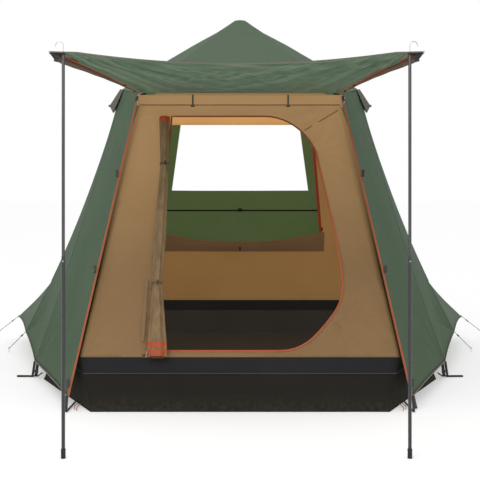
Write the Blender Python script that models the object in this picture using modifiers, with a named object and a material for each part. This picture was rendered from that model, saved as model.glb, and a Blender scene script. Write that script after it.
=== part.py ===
"""A square-hubbed camping tent with a propped front awning, in metres, +Z up.

The origin is the centre of the groundsheet's underside. The front, with the awning, faces -Y.
"""

import math

import bmesh
import bpy
import numpy as np
from mathutils import Matrix, Vector

# Clearances, and the share of a corner's longest reach below which its panels count as one plane
GAP = 0.0003
FLAT_CORNER_SHARE = 0.1
TELESCOPE_CLEARANCE = 0.0002

# Inner tent, hung inside the frame
INNER_THICKNESS = 0.002
INNER_EAVE_HALF_WIDTH = 0.636
INNER_EAVE_HALF_LENGTH = 0.515
INNER_EAVE_HEIGHT = 1.755
INNER_PEAK_RISE = 0.50
INNER_PEAK_HEIGHT = INNER_EAVE_HEIGHT + INNER_PEAK_RISE
FLOOR_HALF_WIDTH = 1.256
FLOOR_HALF_LENGTH = 1.285
FLOOR_FRONT_HALF_WIDTH = 0.829
FLOOR_SIDE_HALF_LENGTH = 0.46
TUB_HEIGHT = 0.28
TUB_FRONT_FLARE = 0.1068
TUB_THICKNESS = 0.003

# Frame: steel tubes plugged into elbows and a hub, with room for them above the inner tent
POLE_RADIUS = 0.0095
ELBOW_RADIUS = 0.0125
ELBOW_ARM = 0.05
FRAME_SIDE_CLEARANCE = 0.021
FRAME_END_SETBACK = 0.015
FRAME_TOP_CLEARANCE = 0.035
FRAME_CORNER = (
    INNER_EAVE_HALF_WIDTH + FRAME_SIDE_CLEARANCE,
    INNER_EAVE_HALF_LENGTH - FRAME_END_SETBACK,
    INNER_EAVE_HEIGHT + FRAME_TOP_CLEARANCE,
)
LEG_FOOT_SHARE = 0.1411
LEG_FLOOR_CLEARANCE = 0.1119
LEG_FOOT_LIFT = 0.0035
HUB_RADIUS = 0.028
HUB_CLEARANCE = 0.065
HUB_HEIGHT = INNER_PEAK_HEIGHT + HUB_CLEARANCE
HUB_SPIGOT_RADIUS = 0.006

# Fly: the outer tent, held by the frame and pegged out at the sides
FLY_THICKNESS = 0.0025
FLY_SIDE_CLEARANCE = 0.007
FLY_END_CLEARANCE = 0.045
FLY_TOP_CLEARANCE = 0.035
FLY_PEAK_CLEARANCE = 0.049
PEAK_HEIGHT = HUB_HEIGHT + FLY_PEAK_CLEARANCE
EAVE_HALF_WIDTH = INNER_EAVE_HALF_WIDTH + FLY_SIDE_CLEARANCE
EAVE_HALF_LENGTH = INNER_EAVE_HALF_LENGTH + FLY_END_CLEARANCE
EAVE_HEIGHT = FRAME_CORNER[2] + FLY_TOP_CLEARANCE
SIDE_EAVE_SPREAD = 0.177
SIDE_EAVE_RISE = 0.065
SIDE_EAVE_REACH = EAVE_HALF_WIDTH + SIDE_EAVE_SPREAD
SIDE_EAVE_HEIGHT = EAVE_HEIGHT + SIDE_EAVE_RISE
FRONT_HEM_SIDE_CLEARANCE = 0.134
FRONT_HEM_SETBACK = 0.023
FRONT_HEM_HEIGHT = 0.08
SIDE_HEM_CLEARANCE = 0.07
SIDE_HEM_SETBACK = 0.06
SIDE_PULL_REACH = 0.284
REAR_PULL_REACH = 0.484
REAR_PULL_SETBACK = 0.345
REAR_HEM_SIDE_CLEARANCE = 0.121
REAR_HEM_END_CLEARANCE = 0.075
FLAP_TOP_REACH = 0.156
FRONT_HEM = (
    FLOOR_FRONT_HALF_WIDTH + FRONT_HEM_SIDE_CLEARANCE,
    FRONT_HEM_SETBACK - FLOOR_HALF_LENGTH,
    FRONT_HEM_HEIGHT,
)
SIDE_HEM = (
    FLOOR_HALF_WIDTH + SIDE_HEM_CLEARANCE,
    SIDE_HEM_SETBACK - FLOOR_SIDE_HALF_LENGTH,
    0.10,
)
SIDE_PULL = (FLOOR_HALF_WIDTH + SIDE_PULL_REACH, 0.30, 0.17)
REAR_PULL = (
    FLOOR_HALF_WIDTH + REAR_PULL_REACH,
    FLOOR_HALF_LENGTH - REAR_PULL_SETBACK,
    0.18,
)
REAR_HEM = (
    FLOOR_FRONT_HALF_WIDTH + REAR_HEM_SIDE_CLEARANCE,
    FLOOR_HALF_LENGTH + REAR_HEM_END_CLEARANCE,
    0.05,
)
FLAP_TOP = (FLOOR_HALF_WIDTH + FLAP_TOP_REACH, 0.55, 0.492)
FLY_WINDOW_HEAD = 0.145
FLY_WINDOW_DROP = 0.503
FLY_WINDOW_TOP = EAVE_HEIGHT - FLY_WINDOW_HEAD
FLY_WINDOW_SILL = FLY_WINDOW_TOP - FLY_WINDOW_DROP
FLY_WINDOW_TOP_HALF_WIDTH = 0.445
FLY_WINDOW_SILL_HALF_WIDTH = 0.528

# Openings in the inner tent's end walls, as half widths and heights
DOOR_HEAD = 0.078
DOOR_TOP = INNER_EAVE_HEIGHT - DOOR_HEAD
DOOR_SILL = 0.3124
DOOR_LEFT_TOP = -0.429
DOOR_LEFT_SILL = -0.5236
DOOR_STRAIGHT_TOP_END = 0.158
DOOR_SHOULDER = (0.472, 1.4517)
DOOR_WIDEST = (0.603, 0.68)
DOOR_LOWER_BEND = (0.489, 0.4504)
DOOR_STRAIGHT_SILL_END = 0.2276
DOOR_TOP_BEND = 0.16
DOOR_SHOULDER_BEND = (0.11, 0.22)
DOOR_SHOULDER_TUCK = 0.02
DOOR_WIDEST_BEND = (0.20, 0.12)
DOOR_LOWER_BEND_HANDLES = ((0.05, 0.06), (0.06, 0.07))
DOOR_SILL_BEND = 0.13
DOOR_CURVE_POINTS = (6, 5, 4, 4)
REAR_OPENING_HEAD = 0.086
REAR_OPENING_TOP = INNER_EAVE_HEIGHT - REAR_OPENING_HEAD
REAR_OPENING_SILL = 0.72
REAR_OPENING_TOP_HALF_WIDTH = 0.535
REAR_OPENING_SILL_HALF_WIDTH = 0.645

# Awning and its two telescopic poles
AWNING_LENGTH = 1.60
AWNING_TIP_HALF_WIDTH = 0.875
AWNING_EAVE_INSET = 0.006
AWNING_SIDE_INSET = 0.02
AWNING_HEM_CUT_BACK = 0.11
AWNING_TIP_OVERHANG = 0.065
AWNING_HEM_OVERHANG = 0.03
AWNING_POLE_SPREAD = AWNING_TIP_HALF_WIDTH - AWNING_TIP_OVERHANG
AWNING_POLE_FRONT = EAVE_HALF_LENGTH + AWNING_LENGTH - AWNING_HEM_OVERHANG
AWNING_RISE = 0.075
AWNING_CORNER_HEIGHT = EAVE_HEIGHT + AWNING_RISE
AWNING_HEM_SAG = 0.045
AWNING_BELLY = 0.02
AWNING_PATCH_SHARE = 0.85
AWNING_DRIFT = -0.016
AWNING_PATCH_ROW_SHARE = 0.955
AWNING_THICKNESS = 0.002
LOWER_TUBE_RADIUS = 0.0086
UPPER_TUBE_RADIUS = 0.0076
TUBE_WALL = 0.0008
LOWER_TUBE_SHARE = 0.498
LOWER_TUBE_TOP = AWNING_CORNER_HEIGHT * LOWER_TUBE_SHARE
UPPER_TUBE_OVERLAP = 0.12
FOOT_RADIUS = 0.0115
FOOT_HEIGHT = 0.045
FOOT_SOLE = 0.006
HOOK_WIRE_RADIUS = 0.0022
HOOK_BEND_RADIUS = 0.018
HOOK_STEM = 0.03
HOOK_BEND_STEPS = 12
HUB_STEPS = 8

# Eave hoods, guy lines, pegs and straps
HOOD_REACH = 0.075
HOOD_HALF_LENGTH = 0.15
HOOD_DROP = 0.11
HOOD_THICKNESS = 0.003
GUY_RADIUS = 0.002
GUY_TIE_SHARE = 0.6
GUY_POINTS = 24
PEG_RADIUS = 0.004
PEG_HEIGHT = 0.045
REAR_PEG_REACH = (0.20, 0.02)
SIDE_PEG_REACH = (0.15, 0.12)
REAR_PEG = (REAR_PULL[0] + REAR_PEG_REACH[0], REAR_PULL[1] + REAR_PEG_REACH[1])
SIDE_PEG = (SIDE_PULL[0] + SIDE_PEG_REACH[0], SIDE_PULL[1] + SIDE_PEG_REACH[1])
STRAP_WIDTH = 0.025
STRAP_THICKNESS = 0.002
STRAP_FOOT_LIFT = 0.004

# Soft forms
ROLL_HEAD = 0.012
ROLL_TOP = DOOR_TOP - ROLL_HEAD
ROLL_FOOT = 0.272
ROLL_AXIS = ((ROLL_FOOT, -0.467), (0.68, -0.486), (1.37, -0.466), (ROLL_TOP, -0.475))
ROLL_HALF_WIDTH = (
    (ROLL_FOOT, 0.052),
    (0.50, 0.040),
    (0.68, 0.026),
    (0.95, 0.034),
    (1.37, 0.024),
    (ROLL_TOP, 0.031),
)
# The roll lies on the wall, and its foot stands off for the door's slider to pass under it
ROLL_LIFT = ((ROLL_FOOT, 0.0086), (0.40, 0.0086), (0.56, GAP), (ROLL_TOP, GAP))
ROLL_FLATNESS = 0.6
ROLL_FOLDS = 6
ROLL_FOLD_DEPTH = 0.13
ROLL_TWIST = 1.2
ROLL_SIDES = 36
ROLL_STEPS = 16
SWAG_HALF_WIDTH = 0.66
SWAG_LAP = 0.03
SWAG_DEPTH = 0.016
SWAG_FOLDS = 4
SWAG_FOLD_DEPTH = 0.2
SWAG_SIDES = 20
SWAG_STEPS = 14
SWAG_END_HEIGHT = 0.15
SWAG_MIDDLE_HEIGHT = 0.06

# Zip sliders
SLIDER_SIZE = (0.014, 0.006, 0.026)
SLIDER_EDGE = 0.0015
SLIDER_INSET = 0.014
SLIDER_START = 0.17
DOOR_SLIDER_INSET = 0.022
DOOR_SLIDER_HEIGHT = 0.290


def clear_scene():
    for item in list(bpy.data.objects):
        bpy.data.objects.remove(item)


def new_collection(name):
    collection = bpy.data.collections.new(name)
    bpy.context.scene.collection.children.link(collection)
    return collection


clear_scene()
TENT = new_collection("camping_tent")
CUTTERS = new_collection("cutters")


def material(name, colour, roughness, metallic=0.0):
    made = bpy.data.materials.new(name)
    made.use_nodes = True
    shader = made.node_tree.nodes["Principled BSDF"]
    shader.inputs["Base Color"].default_value = (*colour, 1.0)
    shader.inputs["Roughness"].default_value = roughness
    shader.inputs["Metallic"].default_value = metallic
    return made


FLY_CLOTH = material("fly_cloth", (0.10, 0.15, 0.10), 0.7)
INNER_CLOTH = material("inner_cloth", (0.35, 0.22, 0.11), 0.8)
TUB_SHEET = material("tub_sheet", (0.02, 0.02, 0.022), 0.6)
STEEL = material("steel", (0.05, 0.05, 0.05), 0.35, 0.8)
BRIGHT_STEEL = material("bright_steel", (0.6, 0.6, 0.62), 0.25, 1.0)
BLACK_RESIN = material("black_resin", (0.015, 0.015, 0.015), 0.5)
WEBBING = material("webbing", (0.012, 0.012, 0.012), 0.8)
HOOD_CLOTH = material("hood_cloth", (0.14, 0.13, 0.12), 0.8)
ROPE = material("rope", (0.05, 0.05, 0.05), 0.8)


def object_from_bmesh(name, bm, finish, collection=TENT):
    mesh = bpy.data.meshes.new(name)
    bm.to_mesh(mesh)
    bm.free()
    made = bpy.data.objects.new(name, mesh)
    collection.objects.link(made)
    if finish:
        mesh.materials.append(finish)
    return made


def solidify(item, thickness, offset):
    wall = item.modifiers.new("wall", "SOLIDIFY")
    wall.thickness = thickness
    wall.offset = offset
    wall.use_even_offset = True
    wall.use_quality_normals = True
    return wall


def rod(name, points, radius, finish, bevel_resolution=2):
    """A round bar or cord along straight runs between the points."""
    curve = bpy.data.curves.new(name, "CURVE")
    curve.dimensions = "3D"
    curve.bevel_depth = radius
    curve.bevel_resolution = bevel_resolution
    curve.use_fill_caps = True
    spline = curve.splines.new("POLY")
    spline.points.add(len(points) - 1)
    for place, point in zip(spline.points, points):
        place.co = (*point, 1.0)
    made = bpy.data.objects.new(name, curve)
    TENT.objects.link(made)
    curve.materials.append(finish)
    return made


def turned(name, profile, location, finish, steps=16, closed=False):
    """A turned solid: the profile's (radius, height) points run down its outer side."""
    bm = bmesh.new()
    places = [bm.verts.new((radius, 0.0, height)) for radius, height in profile]
    for first, second in zip(places, places[1:]):
        bm.edges.new((first, second))
    if closed:
        bm.edges.new((places[-1], places[0]))
    made = object_from_bmesh(name, bm, finish)
    turn = made.modifiers.new("turn", "SCREW")
    turn.steps = steps
    turn.render_steps = steps
    turn.use_merge_vertices = True
    turn.merge_threshold = 0.00001
    made.location = location
    for polygon in made.data.polygons:
        polygon.use_smooth = True
    return made


def mirrored(point, side):
    return Vector((point[0] * side, point[1], point[2]))


SIDES = {"left": -1, "right": 1}
ENDS = {"front": -1, "back": 1}


# Panels of sewn skins. Corners are named, so two panels that share an edge meet there with a gap.


def skin_corners(half_corners):
    """Both mirror images of the named corners, as name_left and name_right."""
    return {
        f"{name}_{word}": mirrored(point, side)
        for name, point in half_corners.items()
        for word, side in SIDES.items()
    }


def facing_out(corners, face, centre):
    """The face's corner names, ordered so that its normal points away from the centre."""
    points = [corners[name] for name in face]
    normal = (points[1] - points[0]).cross(points[2] - points[0])
    middle = sum(points, Vector()) / len(points)
    return list(face) if normal.dot(middle - centre) > 0 else list(reversed(face))


def face_normal(corners, face):
    points = [corners[name] for name in face]
    return (points[1] - points[0]).cross(points[2] - points[0]).normalized()


def edges_of(face):
    return list(zip(face, face[1:] + face[:1]))


def wall_offsets(corners, panels, thickness):
    """Each corner's way inwards through a wall of even thickness, the same for all its panels."""
    normals = {}
    for faces in panels.values():
        for face in faces:
            for key in face:
                normals.setdefault(key, []).append(tuple(face_normal(corners, face)))
    offsets = {}
    for key, rows in normals.items():
        wanted = np.full(len(rows), -thickness)
        offsets[key] = Vector(np.linalg.lstsq(np.array(rows), wanted, rcond=FLAT_CORNER_SHARE)[0])
    return offsets


def sewn_panel(name, corners, panels, offsets, finish):
    """One panel of a skin: its outer faces, and the same faces moved inwards by the wall."""
    faces = panels[name]
    borders = {}
    for face in faces:
        for edge in edges_of(face):
            if sum(set(edge) <= set(other) for other in faces) > 1:
                continue
            along = (corners[edge[1]] - corners[edge[0]]).normalized()
            inward = face_normal(corners, face).cross(along)
            for key in edge:
                borders.setdefault(key, []).append(tuple(inward))
    bm = bmesh.new()
    verts = {}
    for key in sorted({key for face in faces for key in face}):
        shift = Vector()
        if key in borders:
            wanted = np.full(len(borders[key]), GAP / 2)
            shift = Vector(np.linalg.lstsq(np.array(borders[key]), wanted, rcond=FLAT_CORNER_SHARE)[0])
        verts[key] = bm.verts.new(corners[key] + shift)
    for face in faces:
        bm.faces.new([verts[key] for key in face])
    grown = bmesh.ops.extrude_face_region(bm, geom=bm.faces[:])
    inner = {}
    for item in grown["geom"]:
        if isinstance(item, bmesh.types.BMVert):
            key = min(verts, key=lambda k: (verts[k].co - item.co).length)
            inner[key] = item
    for key, item in inner.items():
        item.co = item.co + offsets[key]
    # Both panels of a seam fold its edge wall along the same diagonal
    for edge in {tuple(sorted(pair)) for face in faces for pair in edges_of(face)}:
        if sum(set(edge) <= set(face) for face in faces) == 1:
            bmesh.ops.connect_verts(bm, verts=[verts[edge[0]], inner[edge[1]]])
    bmesh.ops.recalc_face_normals(bm, faces=bm.faces)
    return object_from_bmesh(name, bm, finish)


def oriented(corners, panels, centre):
    return {
        name: [facing_out(corners, face, centre) for face in faces]
        for name, faces in panels.items()
    }


# Cutters for the openings. Each is a flat outline on an end wall's plane, made thick.
CUTTER_THICKNESS = 0.10


def wall_matrix(end, eave_length, eave_height, foot_length):
    """Takes (across, up the slope from the ground line) to an end wall's plane."""
    up = Vector((0.0, end * (eave_length - foot_length), eave_height)).normalized()
    across = Vector((1.0, 0.0, 0.0))
    out = across.cross(up)
    matrix = Matrix((across, up, out)).transposed().to_4x4()
    matrix.translation = (0.0, end * foot_length, 0.0)
    return matrix


def slope_length(height, eave_length, eave_height, foot_length):
    """The length up an end wall's slope at a height above the ground."""
    return height * math.hypot(eave_length - foot_length, eave_height) / eave_height


def outline_cutter(name, outline, matrix, thickness=CUTTER_THICKNESS):
    bm = bmesh.new()
    base = [bm.verts.new((x, y, -thickness / 2)) for x, y in outline]
    face = bm.faces.new(base)
    grown = bmesh.ops.extrude_face_region(bm, geom=[face])
    top = [item for item in grown["geom"] if isinstance(item, bmesh.types.BMVert)]
    bmesh.ops.translate(bm, verts=top, vec=(0.0, 0.0, thickness))
    bmesh.ops.recalc_face_normals(bm, faces=bm.faces)
    made = object_from_bmesh(name, bm, None, CUTTERS)
    made.matrix_world = matrix
    made.hide_render = True
    made.display_type = "WIRE"
    return made


def cut(item, cutter):
    opening = item.modifiers.new("opening", "BOOLEAN")
    opening.operation = "DIFFERENCE"
    opening.object = cutter
    opening.solver = "EXACT"


def bezier(p0, p1, p2, p3, count):
    """Points of a cubic curve, without its last."""
    found = []
    for step in range(count):
        t = step / count
        weights = ((1 - t) ** 3, 3 * t * (1 - t) ** 2, 3 * t**2 * (1 - t), t**3)
        places = zip(weights, (p0, p1, p2, p3))
        found.append(sum((weight * Vector(place) for weight, place in places), Vector((0, 0))))
    return found


def beside_floor(share, clearance):
    """A place on the ground, this share of the way back along the floor's slanted edge."""
    first = Vector((FLOOR_FRONT_HALF_WIDTH, FLOOR_HALF_LENGTH))
    second = Vector((FLOOR_HALF_WIDTH, FLOOR_SIDE_HALF_LENGTH))
    along = (second - first).normalized()
    out = Vector((-along.y, along.x))
    return first.lerp(second, share) + out * clearance


# Fly
FLY_HALF = {
    "front_eave": (EAVE_HALF_WIDTH, -EAVE_HALF_LENGTH, EAVE_HEIGHT),
    "side_eave": (SIDE_EAVE_REACH, 0.0, SIDE_EAVE_HEIGHT),
    "back_eave": (EAVE_HALF_WIDTH, EAVE_HALF_LENGTH, EAVE_HEIGHT),
    "front_hem": FRONT_HEM,
    "side_hem": SIDE_HEM,
    "side_pull": SIDE_PULL,
    "rear_pull": REAR_PULL,
    "rear_hem": REAR_HEM,
    "flap_top": FLAP_TOP,
}
FLY_CORNERS = skin_corners(FLY_HALF)
FLY_CORNERS["peak"] = Vector((0.0, 0.0, PEAK_HEIGHT))
TENT_CENTRE = Vector((0.0, 0.0, 0.9))


def side_panels(word):
    def named(*names):
        return tuple(f"{name}_{word}" for name in names)

    return {
        f"fly_roof_{word}": [
            (*named("front_eave", "side_eave"), "peak"),
            (*named("side_eave", "back_eave"), "peak"),
        ],
        f"fly_front_gore_{word}": [
            named("front_eave", "side_eave", "side_hem"),
            named("front_eave", "side_hem", "front_hem"),
        ],
        f"fly_side_gore_{word}": [
            named("side_eave", "flap_top", "side_hem"),
            named("side_hem", "flap_top", "side_pull"),
            named("flap_top", "rear_pull", "side_pull"),
            named("side_eave", "back_eave", "flap_top"),
        ],
        f"fly_rear_gore_{word}": [
            named("back_eave", "flap_top", "rear_hem"),
            named("flap_top", "rear_pull", "rear_hem"),
        ],
    }


FLY_PANELS = {
    "fly_roof_front": [("front_eave_left", "front_eave_right", "peak")],
    "fly_roof_back": [("back_eave_left", "back_eave_right", "peak")],
    "fly_back": [("back_eave_left", "back_eave_right", "rear_hem_right", "rear_hem_left")],
    **side_panels("left"),
    **side_panels("right"),
}
FLY_PANELS = oriented(FLY_CORNERS, FLY_PANELS, TENT_CENTRE)
FLY_OFFSETS = wall_offsets(FLY_CORNERS, FLY_PANELS, FLY_THICKNESS)
for panel_name in FLY_PANELS:
    sewn_panel(panel_name, FLY_CORNERS, FLY_PANELS, FLY_OFFSETS, FLY_CLOTH)

# The fly's back plane, from its hem to the eave, carried down to the ground
FLY_BACK_SLOPE = (REAR_HEM[1] - EAVE_HALF_LENGTH) / (EAVE_HEIGHT - REAR_HEM[2])
FLY_BACK_FOOT = REAR_HEM[1] + FLY_BACK_SLOPE * REAR_HEM[2]


def fly_back_slope_length(height):
    return slope_length(height, EAVE_HALF_LENGTH, EAVE_HEIGHT, FLY_BACK_FOOT)


fly_window = outline_cutter(
    "fly_window_cutter",
    [
        (-FLY_WINDOW_SILL_HALF_WIDTH, fly_back_slope_length(FLY_WINDOW_SILL)),
        (FLY_WINDOW_SILL_HALF_WIDTH, fly_back_slope_length(FLY_WINDOW_SILL)),
        (FLY_WINDOW_TOP_HALF_WIDTH, fly_back_slope_length(FLY_WINDOW_TOP)),
        (-FLY_WINDOW_TOP_HALF_WIDTH, fly_back_slope_length(FLY_WINDOW_TOP)),
    ],
    wall_matrix(1, EAVE_HALF_LENGTH, EAVE_HEIGHT, FLY_BACK_FOOT),
)
cut(bpy.data.objects["fly_back"], fly_window)


# Inner tent and groundsheet tub
FLOOR_HALF = {
    "front": (FLOOR_FRONT_HALF_WIDTH, -FLOOR_HALF_LENGTH),
    "front_side": (FLOOR_HALF_WIDTH, -FLOOR_SIDE_HALF_LENGTH),
    "back_side": (FLOOR_HALF_WIDTH, FLOOR_SIDE_HALF_LENGTH),
    "back": (FLOOR_FRONT_HALF_WIDTH, FLOOR_HALF_LENGTH),
}


def inner_eave(end):
    return Vector((INNER_EAVE_HALF_WIDTH, end * INNER_EAVE_HALF_LENGTH, INNER_EAVE_HEIGHT))


def up_the_wall(name, height):
    """The point up a wall's corner at a height within the tub; the front corners flare out."""
    x, y = FLOOR_HALF[name]
    eave = inner_eave(-1 if y < 0 else 1)
    foot = Vector((x, y, 0.0))
    flare = TUB_FRONT_FLARE * height / TUB_HEIGHT if name == "front" else 0.0
    return foot.lerp(eave, height / INNER_EAVE_HEIGHT) + Vector((flare, 0.0, 0.0))


INNER_HALF = {
    "front_eave": inner_eave(-1),
    "back_eave": inner_eave(1),
    **{f"wall_{name}": up_the_wall(name, TUB_HEIGHT) for name in FLOOR_HALF},
}
INNER_CORNERS = skin_corners(INNER_HALF)
INNER_CORNERS["peak"] = Vector((0.0, 0.0, INNER_PEAK_HEIGHT))


def inner_side(word):
    def named(*names):
        return [tuple(f"{name}_{word}" for name in names)]

    return {
        f"inner_wall_{word}": named("front_eave", "wall_front_side", "wall_back_side", "back_eave"),
        f"inner_front_corner_{word}": named("front_eave", "wall_front", "wall_front_side"),
        f"inner_back_corner_{word}": named("back_eave", "wall_back_side", "wall_back"),
    }


INNER_PANELS = {
    "inner_front_wall": [
        ("front_eave_left", "front_eave_right", "wall_front_right", "wall_front_left"),
    ],
    "inner_back_wall": [
        ("back_eave_left", "back_eave_right", "wall_back_right", "wall_back_left"),
    ],
    **inner_side("left"),
    **inner_side("right"),
    "inner_ceiling": [
        ("front_eave_left", "front_eave_right", "peak"),
        ("front_eave_right", "back_eave_right", "peak"),
        ("back_eave_right", "back_eave_left", "peak"),
        ("back_eave_left", "front_eave_left", "peak"),
    ],
}
INNER_PANELS = oriented(INNER_CORNERS, INNER_PANELS, TENT_CENTRE)
INNER_OFFSETS = wall_offsets(INNER_CORNERS, INNER_PANELS, INNER_THICKNESS)
for panel_name in INNER_PANELS:
    sewn_panel(panel_name, INNER_CORNERS, INNER_PANELS, INNER_OFFSETS, INNER_CLOTH)


def groundsheet_tub():
    """The floor and its low walls, one sheet, welded at the corners."""
    around = ["front", "front_side", "back_side", "back"]
    right = [(name, 1) for name in around]
    left = [(name, -1) for name in reversed(around)]
    bm = bmesh.new()
    low = []
    high = []
    for name, side in right + left:
        x, y = FLOOR_HALF[name]
        low.append(bm.verts.new((side * x, y, 0.0)))
        top = up_the_wall(name, TUB_HEIGHT - GAP)
        high.append(bm.verts.new((side * top.x, top.y, top.z)))
    bm.faces.new(low)
    for index, place in enumerate(low):
        following = (index + 1) % len(low)
        bm.faces.new((place, low[following], high[following], high[index]))
    bmesh.ops.recalc_face_normals(bm, faces=bm.faces)
    made = object_from_bmesh("groundsheet_tub", bm, TUB_SHEET)
    solidify(made, TUB_THICKNESS, -1.0)
    return made


groundsheet_tub()


def inner_slope_length(height):
    return slope_length(height, INNER_EAVE_HALF_LENGTH, INNER_EAVE_HEIGHT, FLOOR_HALF_LENGTH)


def door_outline():
    """The door's D shape on the front wall, as (across, up the slope), from its lower left."""

    def on_wall(place):
        return (place[0], inner_slope_length(place[1]))

    top = inner_slope_length(DOOR_TOP)
    sill = inner_slope_length(DOOR_SILL)
    start = (DOOR_STRAIGHT_TOP_END, top)
    shoulder = on_wall(DOOR_SHOULDER)
    widest = on_wall(DOOR_WIDEST)
    bend = on_wall(DOOR_LOWER_BEND)
    end = (DOOR_STRAIGHT_SILL_END, sill)
    lean = Vector((widest[0] - shoulder[0], widest[1] - shoulder[1])).normalized()
    before = shoulder[0] - lean.x * DOOR_SHOULDER_BEND[0] - DOOR_SHOULDER_TUCK
    above, below = DOOR_WIDEST_BEND
    in_bend, out_bend = DOOR_LOWER_BEND_HANDLES
    curves = [
        (
            start,
            (start[0] + DOOR_TOP_BEND, top),
            (before, shoulder[1] - lean.y * DOOR_SHOULDER_BEND[0]),
            shoulder,
        ),
        (
            shoulder,
            (
                shoulder[0] + lean.x * DOOR_SHOULDER_BEND[1],
                shoulder[1] + lean.y * DOOR_SHOULDER_BEND[1],
            ),
            (widest[0], widest[1] + above),
            widest,
        ),
        (
            widest,
            (widest[0], widest[1] - below),
            (bend[0] + in_bend[0], bend[1] + in_bend[1]),
            bend,
        ),
        (
            bend,
            (bend[0] - out_bend[0], bend[1] - out_bend[1]),
            (end[0] + DOOR_SILL_BEND, sill),
            end,
        ),
    ]
    points = [(DOOR_LEFT_SILL, sill), (DOOR_LEFT_TOP, top)]
    for curve, count in zip(curves, DOOR_CURVE_POINTS):
        points += bezier(*curve, count)
    points.append(end)
    return [tuple(point) for point in points]


FRONT_WALL = wall_matrix(-1, INNER_EAVE_HALF_LENGTH, INNER_EAVE_HEIGHT, FLOOR_HALF_LENGTH)
BACK_WALL = wall_matrix(1, INNER_EAVE_HALF_LENGTH, INNER_EAVE_HEIGHT, FLOOR_HALF_LENGTH)
DOOR_OUTLINE = door_outline()
cut(
    bpy.data.objects["inner_front_wall"],
    outline_cutter("door_cutter", DOOR_OUTLINE, FRONT_WALL),
)
REAR_OPENING = [
    (-REAR_OPENING_SILL_HALF_WIDTH, inner_slope_length(REAR_OPENING_SILL)),
    (REAR_OPENING_SILL_HALF_WIDTH, inner_slope_length(REAR_OPENING_SILL)),
    (REAR_OPENING_TOP_HALF_WIDTH, inner_slope_length(REAR_OPENING_TOP)),
    (-REAR_OPENING_TOP_HALF_WIDTH, inner_slope_length(REAR_OPENING_TOP)),
]
cut(
    bpy.data.objects["inner_back_wall"],
    outline_cutter("rear_opening_cutter", REAR_OPENING, BACK_WALL),
)


# Frame: hub, roof poles, elbows and legs
ROOF_SLOPE = (PEAK_HEIGHT - EAVE_HEIGHT) / EAVE_HALF_LENGTH


def hub():
    """The hub's ball, with a spigot up to the fly's peak and one down to the inner tent's."""
    steepness = math.hypot(1.0, ROOF_SLOPE)
    top = PEAK_HEIGHT - ROOF_SLOPE * HUB_SPIGOT_RADIUS - (FLY_THICKNESS + GAP) * steepness
    bottom = INNER_PEAK_HEIGHT + GAP
    start = math.asin(HUB_SPIGOT_RADIUS / HUB_RADIUS)
    profile = [(0.0, top - HUB_HEIGHT), (HUB_SPIGOT_RADIUS, top - HUB_HEIGHT)]
    for step in range(HUB_STEPS + 1):
        angle = start + (math.pi - 2 * start) * step / HUB_STEPS
        profile.append((HUB_RADIUS * math.sin(angle), HUB_RADIUS * math.cos(angle)))
    profile += [(HUB_SPIGOT_RADIUS, bottom - HUB_HEIGHT), (0.0, bottom - HUB_HEIGHT)]
    turned("roof_hub", profile, (0.0, 0.0, HUB_HEIGHT), BLACK_RESIN)


hub()
HUB_CENTRE = Vector((0.0, 0.0, HUB_HEIGHT))


def frame_corner(side, end):
    """One elbow with the roof pole and the leg that plug into it."""
    side_word = "left" if side < 0 else "right"
    end_word = "front" if end < 0 else "back"
    name = f"{end_word}_{side_word}"
    corner = Vector((side * FRAME_CORNER[0], end * FRAME_CORNER[1], FRAME_CORNER[2]))
    ground = beside_floor(LEG_FOOT_SHARE, LEG_FLOOR_CLEARANCE)
    foot = Vector((side * ground.x, end * ground.y, LEG_FOOT_LIFT))
    to_hub = (HUB_CENTRE - corner).normalized()
    to_foot = (foot - corner).normalized()
    arms = [corner + to_hub * ELBOW_ARM, corner, corner + to_foot * ELBOW_ARM]
    rod(f"eave_elbow_{name}", arms, ELBOW_RADIUS, BLACK_RESIN)
    pole_ends = [arms[0] + to_hub * GAP, HUB_CENTRE - to_hub * (HUB_RADIUS + GAP)]
    rod(f"roof_pole_{name}", pole_ends, POLE_RADIUS, STEEL)
    rod(f"leg_{name}", [arms[2] + to_foot * GAP, foot], POLE_RADIUS, STEEL)


for side_sign in SIDES.values():
    for end_sign in ENDS.values():
        frame_corner(side_sign, end_sign)


# Awning: one sewn sheet from the front eave to the poles, with pointed reinforced corners
AWNING_COLUMNS = (-1.0, -0.93, -AWNING_PATCH_SHARE, -0.66, -0.44, -0.22, 0.0)
AWNING_COLUMNS += tuple(-u for u in reversed(AWNING_COLUMNS[:-1]))
AWNING_ROWS = (0.0, 0.12, 0.26, 0.42, 0.58, 0.74, 0.87, AWNING_PATCH_ROW_SHARE, 1.0)
AWNING_EAVE_HALF_WIDTH = EAVE_HALF_WIDTH - AWNING_EAVE_INSET


def awning_point(u, v):
    """The awning's upper surface at u across and v from the eave to the hem."""
    half_width = AWNING_EAVE_HALF_WIDTH + (AWNING_TIP_HALF_WIDTH - AWNING_EAVE_HALF_WIDTH) * v
    half_width -= AWNING_SIDE_INSET * math.sin(math.pi * v)
    reach = AWNING_LENGTH - AWNING_HEM_CUT_BACK * (1 - u * u) * v
    across = min(abs(u) / AWNING_PATCH_SHARE, 1.0)
    along = min(v / AWNING_PATCH_ROW_SHARE, 1.0)
    loose = 1 - across**2
    hem_height = AWNING_CORNER_HEIGHT - AWNING_HEM_SAG * loose
    height = EAVE_HEIGHT + (hem_height - EAVE_HEIGHT) * along
    height -= AWNING_BELLY * math.sin(math.pi * along) * loose
    beside = u * half_width + AWNING_DRIFT * v
    return Vector((beside, -EAVE_HALF_LENGTH - GAP - v * reach, height))


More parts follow.
